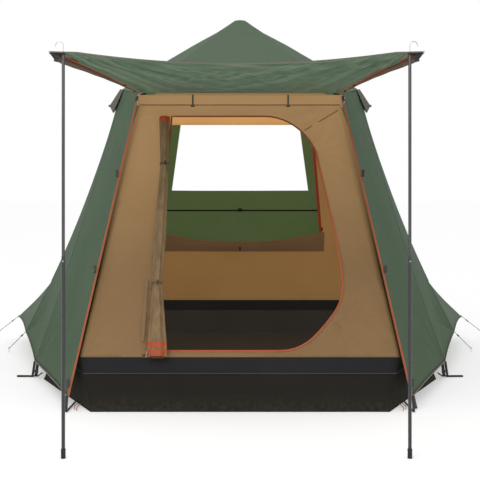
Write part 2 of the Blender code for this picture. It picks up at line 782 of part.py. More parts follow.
def awning():
    bm = bmesh.new()
    bmesh.ops.create_grid(
        bm, x_segments=len(AWNING_COLUMNS) - 1, y_segments=len(AWNING_ROWS) - 1, size=0.5
    )
    for vert in bm.verts:
        column = round((vert.co.x + 0.5) * (len(AWNING_COLUMNS) - 1))
        row = round((vert.co.y + 0.5) * (len(AWNING_ROWS) - 1))
        vert.co = awning_point(AWNING_COLUMNS[column], AWNING_ROWS[row])
    bmesh.ops.recalc_face_normals(bm, faces=bm.faces)
    if next(iter(bm.faces)).normal.z < 0:
        bmesh.ops.reverse_faces(bm, faces=bm.faces)
    made = object_from_bmesh("awning", bm, FLY_CLOTH)
    solidify(made, AWNING_THICKNESS, -1.0)


awning()


# Awning poles: a rubber foot, a lower tube, an upper tube that slides in it, and a hook
def ring_profile(outer, inner, low, high):
    """A tube's wall as a closed profile, down its outer side first."""
    return [(outer, high), (outer, low), (inner, low), (inner, high)]


def awning_pole(word, side):
    base = (side * AWNING_POLE_SPREAD + AWNING_DRIFT, -AWNING_POLE_FRONT, 0.0)
    socket = LOWER_TUBE_RADIUS + GAP
    foot_profile = [
        (0.0, FOOT_SOLE),
        (socket, FOOT_SOLE),
        (socket, FOOT_HEIGHT),
        (FOOT_RADIUS, FOOT_HEIGHT),
        (FOOT_RADIUS, 0.0),
        (0.0, 0.0),
    ]
    turned(f"pole_foot_{word}", foot_profile, base, BLACK_RESIN, 20)
    lower_bore = UPPER_TUBE_RADIUS + TELESCOPE_CLEARANCE
    lower = ring_profile(LOWER_TUBE_RADIUS, lower_bore, FOOT_SOLE + GAP, LOWER_TUBE_TOP)
    turned(f"pole_lower_{word}", lower, base, STEEL, 20, closed=True)
    upper = ring_profile(
        UPPER_TUBE_RADIUS,
        UPPER_TUBE_RADIUS - TUBE_WALL,
        LOWER_TUBE_TOP - UPPER_TUBE_OVERLAP,
        AWNING_CORNER_HEIGHT - AWNING_THICKNESS - GAP,
    )
    turned(f"pole_upper_{word}", upper, base, STEEL, 20, closed=True)
    stem = AWNING_CORNER_HEIGHT + GAP
    points = [Vector((base[0], base[1], stem)), Vector((base[0], base[1], stem + HOOK_STEM))]
    bend = Vector((base[0] + side * HOOK_BEND_RADIUS, base[1], stem + HOOK_STEM))
    for step in range(1, HOOK_BEND_STEPS + 1):
        angle = math.pi * step / HOOK_BEND_STEPS
        out = -side * HOOK_BEND_RADIUS * math.cos(angle)
        points.append(bend + Vector((out, 0.0, HOOK_BEND_RADIUS * math.sin(angle))))
    points.append(points[-1] - Vector((0.0, 0.0, HOOK_STEM / 4)))
    rod(f"pole_hook_{word}", points, HOOK_WIRE_RADIUS, BRIGHT_STEEL, 1)


for side_word, side_sign in SIDES.items():
    awning_pole(side_word, side_sign)


# Hoods over the vents, sewn to the middle of each side eave
def hood(word):
    lift = (HOOD_THICKNESS + GAP) / FLY_THICKNESS
    ridge = FLY_CORNERS[f"side_eave_{word}"]
    side = SIDES[word]
    places = {}
    for end_word in ENDS:
        eave = FLY_CORNERS[f"{end_word}_eave_{word}"]
        share = HOOD_HALF_LENGTH / EAVE_HALF_LENGTH
        offset = FLY_OFFSETS[f"side_eave_{word}"].lerp(FLY_OFFSETS[f"{end_word}_eave_{word}"], share)
        places[end_word] = ridge.lerp(eave, share) - offset * lift
    places["ridge"] = ridge - FLY_OFFSETS[f"side_eave_{word}"] * lift
    places["tip"] = places["ridge"] + Vector((side * HOOD_REACH, 0.0, -HOOD_DROP))
    bm = bmesh.new()
    verts = {key: bm.verts.new(point) for key, point in places.items()}
    bm.faces.new([verts["ridge"], verts["front"], verts["tip"]])
    bm.faces.new([verts["ridge"], verts["tip"], verts["back"]])
    bmesh.ops.recalc_face_normals(bm, faces=bm.faces)
    bm.faces.ensure_lookup_table()
    if bm.faces[0].normal.x * side < 0:
        bmesh.ops.reverse_faces(bm, faces=bm.faces)
    made = object_from_bmesh(f"eave_hood_{word}", bm, HOOD_CLOTH)
    solidify(made, HOOD_THICKNESS, -1.0)


for side_word in SIDES:
    hood(side_word)


# Guy lines, held taut by pegs, and the straps that hold the fly's front corners down
def guy_line(name, word, corner_name, peg_place):
    corner = FLY_CORNERS[f"{corner_name}_{word}"]
    side = SIDES[word]
    peg_foot = Vector((side * peg_place[0], peg_place[1], 0.0))
    rod(
        f"{name}_peg_{word}",
        [peg_foot, peg_foot + Vector((0.0, 0.0, PEG_HEIGHT))],
        PEG_RADIUS,
        BRIGHT_STEEL,
    )
    tie = peg_foot + Vector((0.0, 0.0, PEG_HEIGHT * GUY_TIE_SHARE))
    off_cloth = -FLY_OFFSETS[f"{corner_name}_{word}"].normalized()
    start = corner + off_cloth * (GUY_RADIUS + GAP)
    way = (tie - start).normalized()
    level = Vector((way.x, way.y, 0.0)).length
    end = tie - way * (PEG_RADIUS + GUY_RADIUS * abs(way.z) + GAP) / level
    count = GUY_POINTS
    points = [start.lerp(end, step / (count - 1)) for step in range(count)]
    rod(f"{name}_guy_line_{word}", points, GUY_RADIUS, ROPE)


def corner_strap(word):
    """A flat webbing strap from the fly's side hem corner down to the ground."""
    corner = FLY_CORNERS[f"side_hem_{word}"]
    hem_low = corner.z + min(0.0, FLY_OFFSETS[f"side_hem_{word}"].z)
    height = hem_low - GAP - STRAP_FOOT_LIFT
    bm = bmesh.new()
    bmesh.ops.create_cube(bm, size=1.0)
    bmesh.ops.scale(bm, verts=bm.verts, vec=(STRAP_THICKNESS, STRAP_WIDTH, height))
    inward = -SIDES[word] * STRAP_THICKNESS / 2
    middle = (corner.x + inward, corner.y, STRAP_FOOT_LIFT + height / 2)
    bmesh.ops.translate(bm, verts=bm.verts, vec=middle)
    object_from_bmesh(f"corner_strap_{word}", bm, WEBBING)


for side_word in SIDES:
    guy_line("rear", side_word, "rear_pull", REAR_PEG)
    guy_line("side", side_word, "side_pull", SIDE_PEG)
    corner_strap(side_word)


# Soft forms: the tied-back door and the lowered rear panel
def skin_loft(name, rings, finish):
    """A closed solid through rings of points, with its ends closed."""
    bm = bmesh.new()
    loops = [[bm.verts.new(point) for point in ring] for ring in rings]
    for first, second in zip(loops, loops[1:]):
        for index, vert in enumerate(first):
            following = (index + 1) % len(first)
            bm.faces.new((vert, first[following], second[following], second[index]))
    bm.faces.new(loops[0])
    bm.faces.new(loops[-1])
    bmesh.ops.recalc_face_normals(bm, faces=bm.faces)
    made = object_from_bmesh(name, bm, finish)
    for polygon in made.data.polygons:
        polygon.use_smooth = True
    return made


def wall_out(matrix, end):
    """The way out of an end wall, towards the weather."""
    normal = matrix.to_3x3() @ Vector((0.0, 0.0, 1.0))
    return normal if normal.y * end > 0 else -normal


def door_roll():
    """The door, gathered and tied back along its left edge, with its main folds."""
    out = wall_out(FRONT_WALL, -1)
    rings = []
    for step in range(ROLL_STEPS + 1):
        share = step / ROLL_STEPS
        height = ROLL_TOP + (ROLL_FOOT - ROLL_TOP) * share
        across = float(np.interp(height, *zip(*ROLL_AXIS)))
        half_width = float(np.interp(height, *zip(*ROLL_HALF_WIDTH)))
        half_depth = half_width * ROLL_FLATNESS
        face = FRONT_WALL @ Vector((across, inner_slope_length(height), 0.0))
        section = []
        for index in range(ROLL_SIDES):
            angle = 2 * math.pi * index / ROLL_SIDES
            fold = 1.0 + ROLL_FOLD_DEPTH * math.sin(ROLL_FOLDS * angle + ROLL_TWIST * share)
            section.append(
                (half_width * fold * math.cos(angle), half_depth * fold * math.sin(angle))
            )
        lift = float(np.interp(height, *zip(*ROLL_LIFT)))
        seat = lift - min(depth for _, depth in section)
        rings.append(
            [face + Vector((beside, 0.0, 0.0)) + out * (seat + depth) for beside, depth in section]
        )
    skin_loft("door_roll", rings, INNER_CLOTH)


def rear_swag():
    """The rear panel, lowered to the sill and hanging in a swag between the zips."""
    inwards = -wall_out(BACK_WALL, 1)
    sill = inner_slope_length(REAR_OPENING_SILL) - SWAG_LAP
    rings = []
    for step in range(SWAG_STEPS + 1):
        across = SWAG_HALF_WIDTH * (2 * step / SWAG_STEPS - 1)
        share = (across / SWAG_HALF_WIDTH) ** 2
        height = SWAG_LAP + SWAG_MIDDLE_HEIGHT + (SWAG_END_HEIGHT - SWAG_MIDDLE_HEIGHT) * share
        ring = []
        for index in range(SWAG_SIDES):
            angle = 2 * math.pi * index / SWAG_SIDES
            fold = 1.0 + SWAG_FOLD_DEPTH * math.cos(SWAG_FOLDS * angle)
            up = sill + height / 2 * (1 - math.cos(angle))
            ring.append((up, SWAG_DEPTH / 2 * math.sin(angle) * fold))
        seat = INNER_THICKNESS + GAP - min(depth for _, depth in ring)
        rings.append(
            [BACK_WALL @ Vector((across, up, 0.0)) + inwards * (seat + depth) for up, depth in ring]
        )
    skin_loft("rear_swag", rings, INNER_CLOTH)


door_roll()
rear_swag()


# Zip sliders: one on each side of the rear opening, and the door's on its sill
def slider(name, matrix, place, turn, out, lift):
    """A slider lying on a wall, its length turned from the wall's up-slope direction."""
    bm = bmesh.new()
    bmesh.ops.create_cube(bm, size=1.0)
    bmesh.ops.scale(bm, verts=bm.verts, vec=(SLIDER_SIZE[0], SLIDER_SIZE[2], SLIDER_SIZE[1]))
    made = object_from_bmesh(name, bm, BLACK_RESIN)
    shift = Matrix.Translation(out * (lift + GAP + SLIDER_SIZE[1] / 2))
    made.matrix_world = (
        shift @ matrix @ Matrix.Translation((*place, 0.0)) @ Matrix.Rotation(turn, 4, "Z")
    )
    edge = made.modifiers.new("edge", "BEVEL")
    edge.width = SLIDER_EDGE
    edge.segments = 2


def rear_slider(word):
    side = SIDES[word]
    low = Vector(REAR_OPENING[1])
    high = Vector(REAR_OPENING[2])
    along = (high - low).normalized()
    beside = Vector((along.y, -along.x)) * SLIDER_INSET
    start = low + along * SLIDER_START + beside
    lean = math.atan2(-along.x, along.y)
    place = (side * start.x, start.y)
    inwards = -wall_out(BACK_WALL, 1)
    slider(f"rear_slider_{word}", BACK_WALL, place, side * lean, inwards, INNER_THICKNESS)


for side_word in SIDES:
    rear_slider(side_word)
slider(
    "door_slider",
    FRONT_WALL,
    (DOOR_LEFT_SILL - DOOR_SLIDER_INSET, inner_slope_length(DOOR_SLIDER_HEIGHT)),
    math.pi / 2,
    wall_out(FRONT_WALL, -1),
    0.0,
)
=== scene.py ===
"""A cabin tent with a pyramid roof, pegged-out sides and a front awning on two poles.

Metres, +Z up, the front facing -Y. Each section below makes one piece or group of like pieces.
"""

import math

import bmesh
import bpy
from mathutils import Matrix, Vector, noise


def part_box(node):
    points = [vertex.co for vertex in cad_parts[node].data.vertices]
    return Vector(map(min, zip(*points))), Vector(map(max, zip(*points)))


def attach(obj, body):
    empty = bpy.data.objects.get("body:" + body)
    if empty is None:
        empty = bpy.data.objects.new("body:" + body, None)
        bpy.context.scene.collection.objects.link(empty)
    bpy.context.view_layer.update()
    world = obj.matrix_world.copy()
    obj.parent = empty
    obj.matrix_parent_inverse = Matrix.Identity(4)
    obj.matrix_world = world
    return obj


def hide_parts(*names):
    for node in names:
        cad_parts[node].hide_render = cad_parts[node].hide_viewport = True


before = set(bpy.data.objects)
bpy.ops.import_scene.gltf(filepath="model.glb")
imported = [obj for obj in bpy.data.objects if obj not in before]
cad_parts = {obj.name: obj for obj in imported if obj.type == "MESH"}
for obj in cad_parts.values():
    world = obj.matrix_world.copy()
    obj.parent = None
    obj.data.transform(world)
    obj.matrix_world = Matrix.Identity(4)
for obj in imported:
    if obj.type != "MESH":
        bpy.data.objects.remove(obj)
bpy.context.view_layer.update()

# Camera: level, in front of the tent's middle, at the height of a standing photographer's chest.
# The picture's middle lies below the horizon, which is done with the lens shift.
EYE_HEIGHT = 1.371
EYE_DISTANCE = 6.64
SENSOR_WIDTH = 36.0
LENS = 72.375
HORIZON_SHIFT = -0.15625

eye = bpy.data.cameras.new("eye")
eye.sensor_width = SENSOR_WIDTH
eye.lens = LENS
eye.shift_y = HORIZON_SHIFT
camera = bpy.data.objects.new("camera", eye)
camera.location = (0.0, -EYE_DISTANCE, EYE_HEIGHT)
camera.rotation_euler = (math.pi / 2, 0.0, 0.0)
bpy.context.scene.collection.objects.link(camera)
bpy.context.scene.camera = camera

# Floor and light: a plain pale floor under an even white sky, with one wide lamp in front.
# What the camera sees of the floor is lifted to white, and the tent's shadow stays on it.
FLOOR_REACH = 30.0
FLOOR_LIFT = 0.34
SKY_LIGHT = 0.80
LAMP_PLACE = (-1.6, -5.2, 4.6)
LAMP_SIZE = 4.0
LAMP_POWER = 120.0


class Look:
    """A socket of a material's nodes. Arithmetic on it adds Math nodes; node() adds any other."""

    def __init__(self, tree, socket=None):
        self.tree = tree
        self.socket = socket

    def node(self, kind, settings=(), inputs=(), output=0):
        made = self.tree.nodes.new(f"ShaderNode{kind}")
        for key, value in dict(settings).items():
            if key == "stops":
                ramp = made.color_ramp.elements
                while len(ramp) < len(value):
                    ramp.new(0.5)
                for stop, (place, colour) in zip(ramp, value):
                    stop.position = place
                    stop.color = (*colour, 1.0) if len(colour) == 3 else colour
            else:
                setattr(made, key, value)
        for key, value in dict(inputs).items():
            if isinstance(value, Look):
                self.tree.links.new(value.socket, made.inputs[key])
            elif hasattr(value, "__len__") and made.inputs[key].type == "RGBA":
                made.inputs[key].default_value = (*value, 1.0)[:4]
            else:
                made.inputs[key].default_value = value
        return Look(self.tree, made.outputs[output]) if made.outputs else made

    def maths(self, operation, *values):
        return self.node("Math", {"operation": operation}, dict(enumerate(values)))

    def __add__(self, other):
        return self.maths("ADD", self, other)

    __radd__ = __add__

    def __mul__(self, other):
        return self.maths("MULTIPLY", self, other)

    __rmul__ = __mul__

    def __sub__(self, other):
        return self.maths("SUBTRACT", self, other)

    def __rsub__(self, other):
        return self.maths("SUBTRACT", other, self)

    def __truediv__(self, other):
        return self.maths("DIVIDE", self, other)

    def __gt__(self, other):
        return self.maths("GREATER_THAN", self, other)

    def __lt__(self, other):
        return self.maths("LESS_THAN", self, other)

    def clamped(self):
        return self.node("Clamp", {}, {0: self})

    def wave(self, length):
        return self.maths("SINE", self * (math.tau / length))

    def noisy(self, scale, detail, distortion=0.0):
        sockets = {"Vector": self, "Scale": scale, "Detail": detail, "Distortion": distortion}
        return self.node("TexNoise", {}, sockets)

    def bumped(self, strength, distance):
        return self.node("Bump", {}, {"Strength": strength, "Distance": distance, "Height": self})

    def plain(self, colour):
        made = self.node("RGB")
        made.socket.default_value = (*colour, 1.0)
        return made

    def larger(self, other):
        return self.maths("MAXIMUM", self, other)

    def ramp(self, *stops):
        return self.node("ValToRGB", {"stops": stops}, {0: self})

    def mixed(self, share, other):
        return self.node("Mix", {"data_type": "RGBA"}, {0: share, 6: self, 7: other}, 2)


def blank_material(name):
    """A material with no nodes but its output, and the pen that its nodes are written with."""
    made = bpy.data.materials.new(name)
    made.use_nodes = True
    made.node_tree.nodes.clear()
    return made, Look(made.node_tree)


def floor_finish():
    made, pen = blank_material("pale_floor")
    seen = pen.node("LightPath", output="Is Camera Ray")
    mirrored = pen.node("LightPath", output="Is Glossy Ray")
    through = pen.node("LightPath", output="Is Transmission Ray")
    lift = (seen + mirrored + through).clamped() * FLOOR_LIFT
    plain = pen.node("BsdfDiffuse", {}, {"Color": (0.8, 0.8, 0.8)})
    glow = pen.node("Emission", {}, {"Color": (1.0, 1.0, 1.0), "Strength": lift})
    both = pen.node("AddShader", {}, {0: plain, 1: glow})
    pen.node("OutputMaterial", {}, {"Surface": both})
    return made


def mesh_object(name, bm, *finishes, smooth=True):
    """The bmesh as an object of the scene, with its finishes."""
    mesh = bpy.data.meshes.new(name)
    bm.to_mesh(mesh)
    bm.free()
    made = bpy.data.objects.new(name, mesh)
    bpy.context.scene.collection.objects.link(made)
    for finish in finishes:
        mesh.materials.append(finish)
    if smooth:
        mesh.shade_smooth()
    return made


bm = bmesh.new()
bmesh.ops.create_grid(bm, x_segments=2, y_segments=2, size=FLOOR_REACH)
mesh_object("floor", bm, floor_finish())

sky = bpy.data.worlds.new("sky")
bpy.context.scene.world = sky
sky.use_nodes = True
sky.node_tree.nodes.clear()
air = Look(sky.node_tree)
looks_white = (
    air.node("LightPath", output="Is Camera Ray")
    + air.node("LightPath", output="Is Glossy Ray")
    + air.node("LightPath", output="Is Transmission Ray")
).clamped()
strength = looks_white * (1.0 - SKY_LIGHT) + SKY_LIGHT
shine = air.node("Background", {}, {"Color": (1.0, 1.0, 1.0), "Strength": strength})
air.node("OutputWorld", {}, {"Surface": shine})

lamp = bpy.data.lights.new("soft_lamp", "AREA")
lamp.size = LAMP_SIZE
lamp.energy = LAMP_POWER
lamp_object = bpy.data.objects.new("soft_lamp", lamp)
lamp_object.location = LAMP_PLACE
aim = Vector((0.0, 0.0, 1.0)) - Vector(LAMP_PLACE)
lamp_object.rotation_euler = aim.to_track_quat("-Z", "Y").to_euler()
bpy.context.scene.collection.objects.link(lamp_object)
bpy.context.scene.view_settings.view_transform = "Standard"

# Guy lines: four round black cords, from the fly's pulled-out corners to their pegs. Each is tied
# to a webbing tab, runs straight and taut, and carries a small runner that sets its tension.
UP = Vector((0.0, 0.0, 1.0))
DOWN = Vector((0.0, 0.0, -1.0))
FORWARDS = Vector((0.0, -1.0, 0.0))
BACKWARDS = Vector((0.0, 1.0, 0.0))
RIGHTWARDS = Vector((1.0, 0.0, 0.0))
GUY_DIAMETER = 0.004
GUY_STEPS = 24
GUY_ROUTES = {
    "rear": ((1.7417, 0.94077, 0.18135), (1.93476, 0.95946, 0.03161)),
    "side": ((1.54184, 0.29936, 0.17123), (1.68645, 0.41623, 0.03164)),
}
SIDES = {"left": -1, "right": 1}
CORD_BRAID = 220.0


def shaded(made, pen, sockets):
    """Ends a material with the shader that takes up its sockets."""
    shader = pen.node("BsdfPrincipled", {}, sockets)
    pen.node("OutputMaterial", {}, {"Surface": shader})
    return made


def fitted(made, body, slot, *nodes):
    """Puts a piece on its body, and in place of the CAD nodes it stands for. Its slot is not used."""
    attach(made, body)
    if nodes:
        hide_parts(*nodes)


def mirrored(point, side):
    return Vector((point[0] * side, point[1], point[2]))


def cord_finish(name, colour, fleck):
    """A braided cord: fine crossing ridges along and round it, with lighter flecks."""
    made, pen = blank_material(name)
    place = pen.node("TexCoord", output="Object")
    waves = [
        pen.node(
            "TexWave",
            {"wave_type": "BANDS", "bands_direction": "DIAGONAL"},
            {"Vector": turned_place(pen, place, turn), "Scale": CORD_BRAID},
        )
        for turn in ((0.0, 0.0, 0.0), (0.0, 0.0, math.pi / 2))
    ]
    braid = waves[0].larger(waves[1])
    specks = place.noisy(900.0, 2.0) > 0.62
    colour_here = pen.plain(colour)
    shown = colour_here.mixed(specks * 0.6, (*fleck, 1.0))
    bump = braid.bumped(0.5, 0.0006)
    return shaded(made, pen, {"Base Color": shown, "Roughness": braid * -0.15 + 0.85, "Normal": bump})


def turned_place(pen, place, turn, scale=(1.0, 1.0, 1.0)):
    return pen.node("Mapping", {}, {"Vector": place, "Rotation": turn, "Scale": scale})


ROPE_FINISH = cord_finish("guy_rope", (0.016, 0.016, 0.017), (0.05, 0.05, 0.05))


def tube_along(name, points, radius, finish, sides=2):
    """A round cord or bar through the points, as a curve of one open spline."""
    curve = bpy.data.curves.new(name, "CURVE")
    curve.dimensions = "3D"
    curve.bevel_depth = radius
    curve.bevel_resolution = sides
    curve.use_fill_caps = True
    spline = curve.splines.new("POLY")
    spline.points.add(len(points) - 1)
    for place, point in zip(spline.points, points):
        place.co = (*point, 1.0)
    made = bpy.data.objects.new(name, curve)
    bpy.context.scene.collection.objects.link(made)
    curve.materials.append(finish)
    return made


def metal_finish(name, colour, roughness, brush=600.0):
    """Drawn metal: fine scratches that change its gloss, and a trace of dirt."""
    made, pen = blank_material(name)
    place = pen.node("TexCoord", output="Object")
    long_place = turned_place(pen, place, (0.0, 0.0, 0.0), (1.0, 1.0, 0.05))
    lines = long_place.noisy(brush, 3.0)
    dirt = place.noisy(14.0, 4.0)
    base = pen.plain(colour)
    dull = tuple(0.72 * part for part in colour)
    shown = base.mixed((dirt - 0.45).clamped() * 2.0, (*dull, 1.0))
    bump = lines.bumped(0.12, 0.0003)
    rough = lines * 0.18 + (roughness - 0.06)
    sockets = {"Base Color": shown, "Metallic": 1.0, "Roughness": rough, "Normal": bump}
    return shaded(made, pen, sockets)


BRIGHT_STEEL = metal_finish("bright_steel", (0.62, 0.62, 0.63), 0.28)


def resin_finish(name, colour, roughness):
    """Moulded plastic: a fine grained skin, a little shinier where it is rubbed."""
    made, pen = blank_material(name)
    place = pen.node("TexCoord", output="Object")
    grain = place.noisy(2600.0, 2.0)
    rub = place.noisy(60.0, 3.0)
    base = pen.plain(colour)
    paler = tuple(min(1.0, 1.7 * part + 0.01) for part in colour)
    shown = base.mixed((rub - 0.5).clamped() * 1.6, (*paler, 1.0))
    bump = grain.bumped(0.35, 0.0004)
    rough = rub * -0.2 + roughness + 0.1
    return shaded(made, pen, {"Base Color": shown, "Roughness": rough, "Normal": bump})


BLACK_RESIN = resin_finish("black_resin", (0.018, 0.018, 0.019), 0.45)
PEG_HEIGHT = 0.045
PEG_RADIUS = 0.004
PEG_EYE_RADIUS = 0.0055
PEGS = {"rear": (1.94, 0.96), "side": (1.69, 0.42)}


def peg(name, place, lean):
    """A bent wire peg, driven to its neck: a straight shank and an open eye that holds the cord."""
    steps = 10
    shank = Vector((place.x, place.y, 0.0))
    neck = PEG_HEIGHT - 2.5 * PEG_EYE_RADIUS
    points = [shank, shank + Vector((0.0, 0.0, neck * 0.5)), shank + Vector((0.0, 0.0, neck))]
    for step in range(1, steps + 1):
        angle = math.pi * 1.35 * step / steps
        away = lean * PEG_EYE_RADIUS * (1.0 - math.cos(angle))
        points.append(points[2] + away + Vector((0.0, 0.0, PEG_EYE_RADIUS * math.sin(angle))))
    made = tube_along(name, points, PEG_RADIUS * 0.55, BRIGHT_STEEL, 3)
    fitted(made, "root", "bright_steel")
    return made


RUNNER_SIZE = (0.012, 0.007, 0.026)
RUNNER_PLACE = 0.22


def box_along(name, centre, along, up, size, finish, edge=0.0015, segments=2):
    """A small moulded block whose length runs along a direction, with rounded edges."""
    bm = bmesh.new()
    bmesh.ops.create_cube(bm, size=1.0)
    bmesh.ops.scale(bm, vec=size, verts=bm.verts)
    bmesh.ops.bevel(
        bm, geom=bm.edges[:], offset=edge, segments=segments, profile=0.5, affect="EDGES", material=-1
    )
    turn = Matrix((along.cross(up), up, along)).transposed()
    bmesh.ops.rotate(bm, verts=bm.verts, cent=(0.0, 0.0, 0.0), matrix=turn)
    bmesh.ops.translate(bm, verts=bm.verts, vec=centre)
    bmesh.ops.recalc_face_normals(bm, faces=bm.faces)
    return mesh_object(name, bm, finish, smooth=False)


def guy_line(kind, word):
    side = SIDES[word]
    start, end = (mirrored(point, side) for point in GUY_ROUTES[kind])
    points = [start.lerp(end, step / (GUY_STEPS - 1)) for step in range(GUY_STEPS)]
    line = tube_along(f"{kind}_guy_cord_{word}", points, GUY_DIAMETER / 2, ROPE_FINISH, 3)
    fitted(line, "root", "rope", f"{kind}_guy_line_{word}")
    along = (end - start).normalized()
    beside = along.cross(UP).normalized()
    up = beside.cross(along)
    runner = box_along(
        f"{kind}_guy_runner_{word}", start.lerp(end, RUNNER_PLACE), along, up, RUNNER_SIZE, BLACK_RESIN
    )
    fitted(runner, "root", "black_resin")
    spot = mirrored((*PEGS[kind], 0.0), side)
    stake = peg(f"{kind}_wire_peg_{word}", spot, (spot - end).xy.to_3d().normalized())
    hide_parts(f"{kind}_peg_{word}")


for guy_kind in GUY_ROUTES:
    for side_word in SIDES:
        guy_line(guy_kind, side_word)

# Frame: a hub, four roof poles, four elbows and four legs of coated steel tube that plug together.
# The inner tent hangs in it and the fly lies over it. These pieces keep the shapes of the CAD.
STEEL_TUBE = resin_finish("coated_steel", (0.036, 0.036, 0.039), 0.30)
FRAME_EDGE = 0.001


def dress(node, finish):
    """Gives a piece of the CAD its finish, with its sharp edges eased."""
    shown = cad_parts[node]
    shown.data.materials.clear()
    shown.data.materials.append(finish)
    eased = shown.modifiers.new("eased", "BEVEL")
    eased.width = FRAME_EDGE
    eased.segments = 2
    eased.limit_method = "ANGLE"


dress("roof_hub", BLACK_RESIN)
for end_word in ("front", "back"):
    for side_word in SIDES:
        dress(f"roof_pole_{end_word}_{side_word}", STEEL_TUBE)
        dress(f"eave_elbow_{end_word}_{side_word}", BLACK_RESIN)
        dress(f"leg_{end_word}_{side_word}", STEEL_TUBE)

# Groundsheet tub: heavy coated polyester, the floor and its low walls in one, folded up at welded
# corners. The wall's upper part is a bluish band, joined on by a pale taped seam all round.
THREAD_PITCH = 0.0011
RIPSTOP_PITCH = 0.0065
RIPSTOP_SHARE = 0.09
TUB_TOP = 0.28
TUB_SEAM = 0.195
TUB_FRONT_FLARE = 0.1068
TUB_THICKNESS = 0.002
TUB_PASSES = 5
TUB_TAPE_STAND = 0.002
FLY_HOLLOW_REACH = 0.22
FLY_SMOOTHINGS = 60
FLY_THICKNESS = 0.0012
INNER_EAVE = (0.636, 0.515, 1.755)
FLOOR_CORNERS = {
    "front": (0.829, -1.285),
    "front_side": (1.256, -0.46),
    "back_side": (1.256, 0.46),
    "back": (0.829, 1.285),
}
# Painted light: the paler colour that the fly's panels are mixed towards, gore by gore, for how the light
# falls on them.
PANEL_LIGHT_COLOUR = (0.118, 0.160, 0.112)
# Painted light: the paler colour of the streaks that fan across the awning's folds.
PAINTED_FOLD_LIGHT = (0.235, 0.310, 0.220)


def cloth_finish(
    name,
    colour,
    shade,
    sheen=0.1,
    roughness=0.72,
    dirt=(0.0, 0.35),
    light=0.0,
    rise=(0.0, 1.0, 1.0),
    fans=(),
):
    """A woven cloth on its own map in metres: threads, a ripstop grid, soft creases and dust.

    dirt is how dusty it is and how high up, and light how strongly the cloth glows: painted light for
    the daylight that comes through it. rise is the heights between which that painted light comes up,
    and its least share below them. fans are the places, with a turn, from which streaks of painted
    light and painted shade fan out, as over folds.
    """
    made, pen = blank_material(name)
    flat = pen.node("UVMap", {"uv_map": "cut"})
    place = pen.node("TexCoord", output="Object")
    across = pen.node("SeparateXYZ", {}, {0: flat}, 0)
    along = pen.node("SeparateXYZ", {}, {0: flat}, 1)
    height = pen.node("SeparateXYZ", {}, {0: place}, 2)
    warp = across.wave(THREAD_PITCH)
    weft = along.wave(THREAD_PITCH)
    threads = warp * weft
    grid_across = across.maths("FRACT", across / RIPSTOP_PITCH) < RIPSTOP_SHARE
    grid_along = along.maths("FRACT", along / RIPSTOP_PITCH) < RIPSTOP_SHARE
    ripstop = grid_across.larger(grid_along)
    broad = place.noisy(2.3, 3.0)
    fine = place.noisy(38.0, 4.0, 0.4)
    crease = flat.noisy(9.0, 5.0, 1.2)
    dusty = ((dirt[1] - height) / max(dirt[1], 0.01)).clamped() * dirt[0]
    blotch = ((fine - 0.35) * 2.0).clamped()
    base = pen.plain(colour)
    shown = base.mixed(((broad - 0.35) * 1.8).clamped() * 0.75, (*shade, 1.0))
    # Painted light: each gore is mixed towards the paler colour by its own share.
    shown = shown.mixed(pen.node("Attribute", {"attribute_name": "tone"}, output=2), PANEL_LIGHT_COLOUR)
    # Painted light and painted shade: paler and darker streaks that fan out from each place over the folds.
    painted_fold_shade = tuple(0.62 * part for part in colour)
    for x, y, spin in fans:
        moved = {"Vector": place, "Location": (-x, -y, 0.0), "Scale": (1.0, 1.0, 0.0)}
        near = pen.node("Mapping", {}, moved)
        turned = pen.node("Mapping", {}, {"Vector": near, "Rotation": (0.0, 0.0, spin)})
        angle = pen.node("TexGradient", {"gradient_type": "RADIAL"}, {"Vector": turned}, 1)
        away = pen.node("VectorMath", {"operation": "LENGTH"}, {0: near}, 1)
        sockets = {"W": angle, "Scale": 95.0, "Detail": 2.0}
        streak = pen.node("TexNoise", {"noise_dimensions": "1D"}, sockets)
        fade = (away * -0.55 + 1.15).clamped() * (away * 6.0).clamped()
        shown = shown.mixed(((streak - 0.53) * 9.0).clamped() * fade * 0.7, PAINTED_FOLD_LIGHT)
        shown = shown.mixed(((0.47 - streak) * 9.0).clamped() * fade * 0.55, painted_fold_shade)
    shown = shown.mixed(ripstop * 0.16, tuple(0.6 * part for part in colour))
    shown = shown.mixed(dusty * blotch, (0.30, 0.26, 0.20, 1.0))
    tall = threads * 0.10 + ripstop * 0.3 + crease * 2.2 + fine * 0.5
    bump = tall.bumped(0.42, 0.004)
    sockets = {
        "Base Color": shown,
        "Roughness": fine * 0.14 + (roughness - 0.07),
        "Specular IOR Level": 0.15,
        "Sheen Weight": sheen,
        "Sheen Roughness": 0.5,
        "Normal": bump,
    }
    # Painted light: the cloth glows with its own colour. Below the top of rise the glow is painted down
    # towards its least share, a painted shade.
    if light:
        low, high, least = rise
        dark = ((height * -1.0 + high) / (high - low)).clamped() * (1.0 - least)
        sockets["Emission Color"] = shown.mixed(dark, (0.0, 0.0, 0.0))
        sockets["Emission Strength"] = light
    return shaded(made, pen, sockets)


def thickened(made, thickness, inside=0, offset=-1.0):
    """Gives the cloth its thickness, inwards; inside is how far on the inner face's finish is."""
    wall = made.modifiers.new("cloth", "SOLIDIFY")
    wall.thickness = thickness
    wall.offset = offset
    wall.material_offset = inside


def map_cloth(bm, way_up=UP, normals=None):
    """The cloth's own map, in metres across and up each panel, from the panel's flat normal."""
    layer = bm.loops.layers.uv.new("cut")
    panel = bm.faces.layers.int.get("panel")
    for face in bm.faces:
        normal = normals[face[panel]] if normals else face.normal
        across = way_up.cross(normal)
        if across.length < 0.01:
            across = RIGHTWARDS
        across.normalize()
        up = normal.cross(across)
        for loop in face.loops:
            loop[layer].uv = (loop.vert.co.dot(across), loop.vert.co.dot(up))


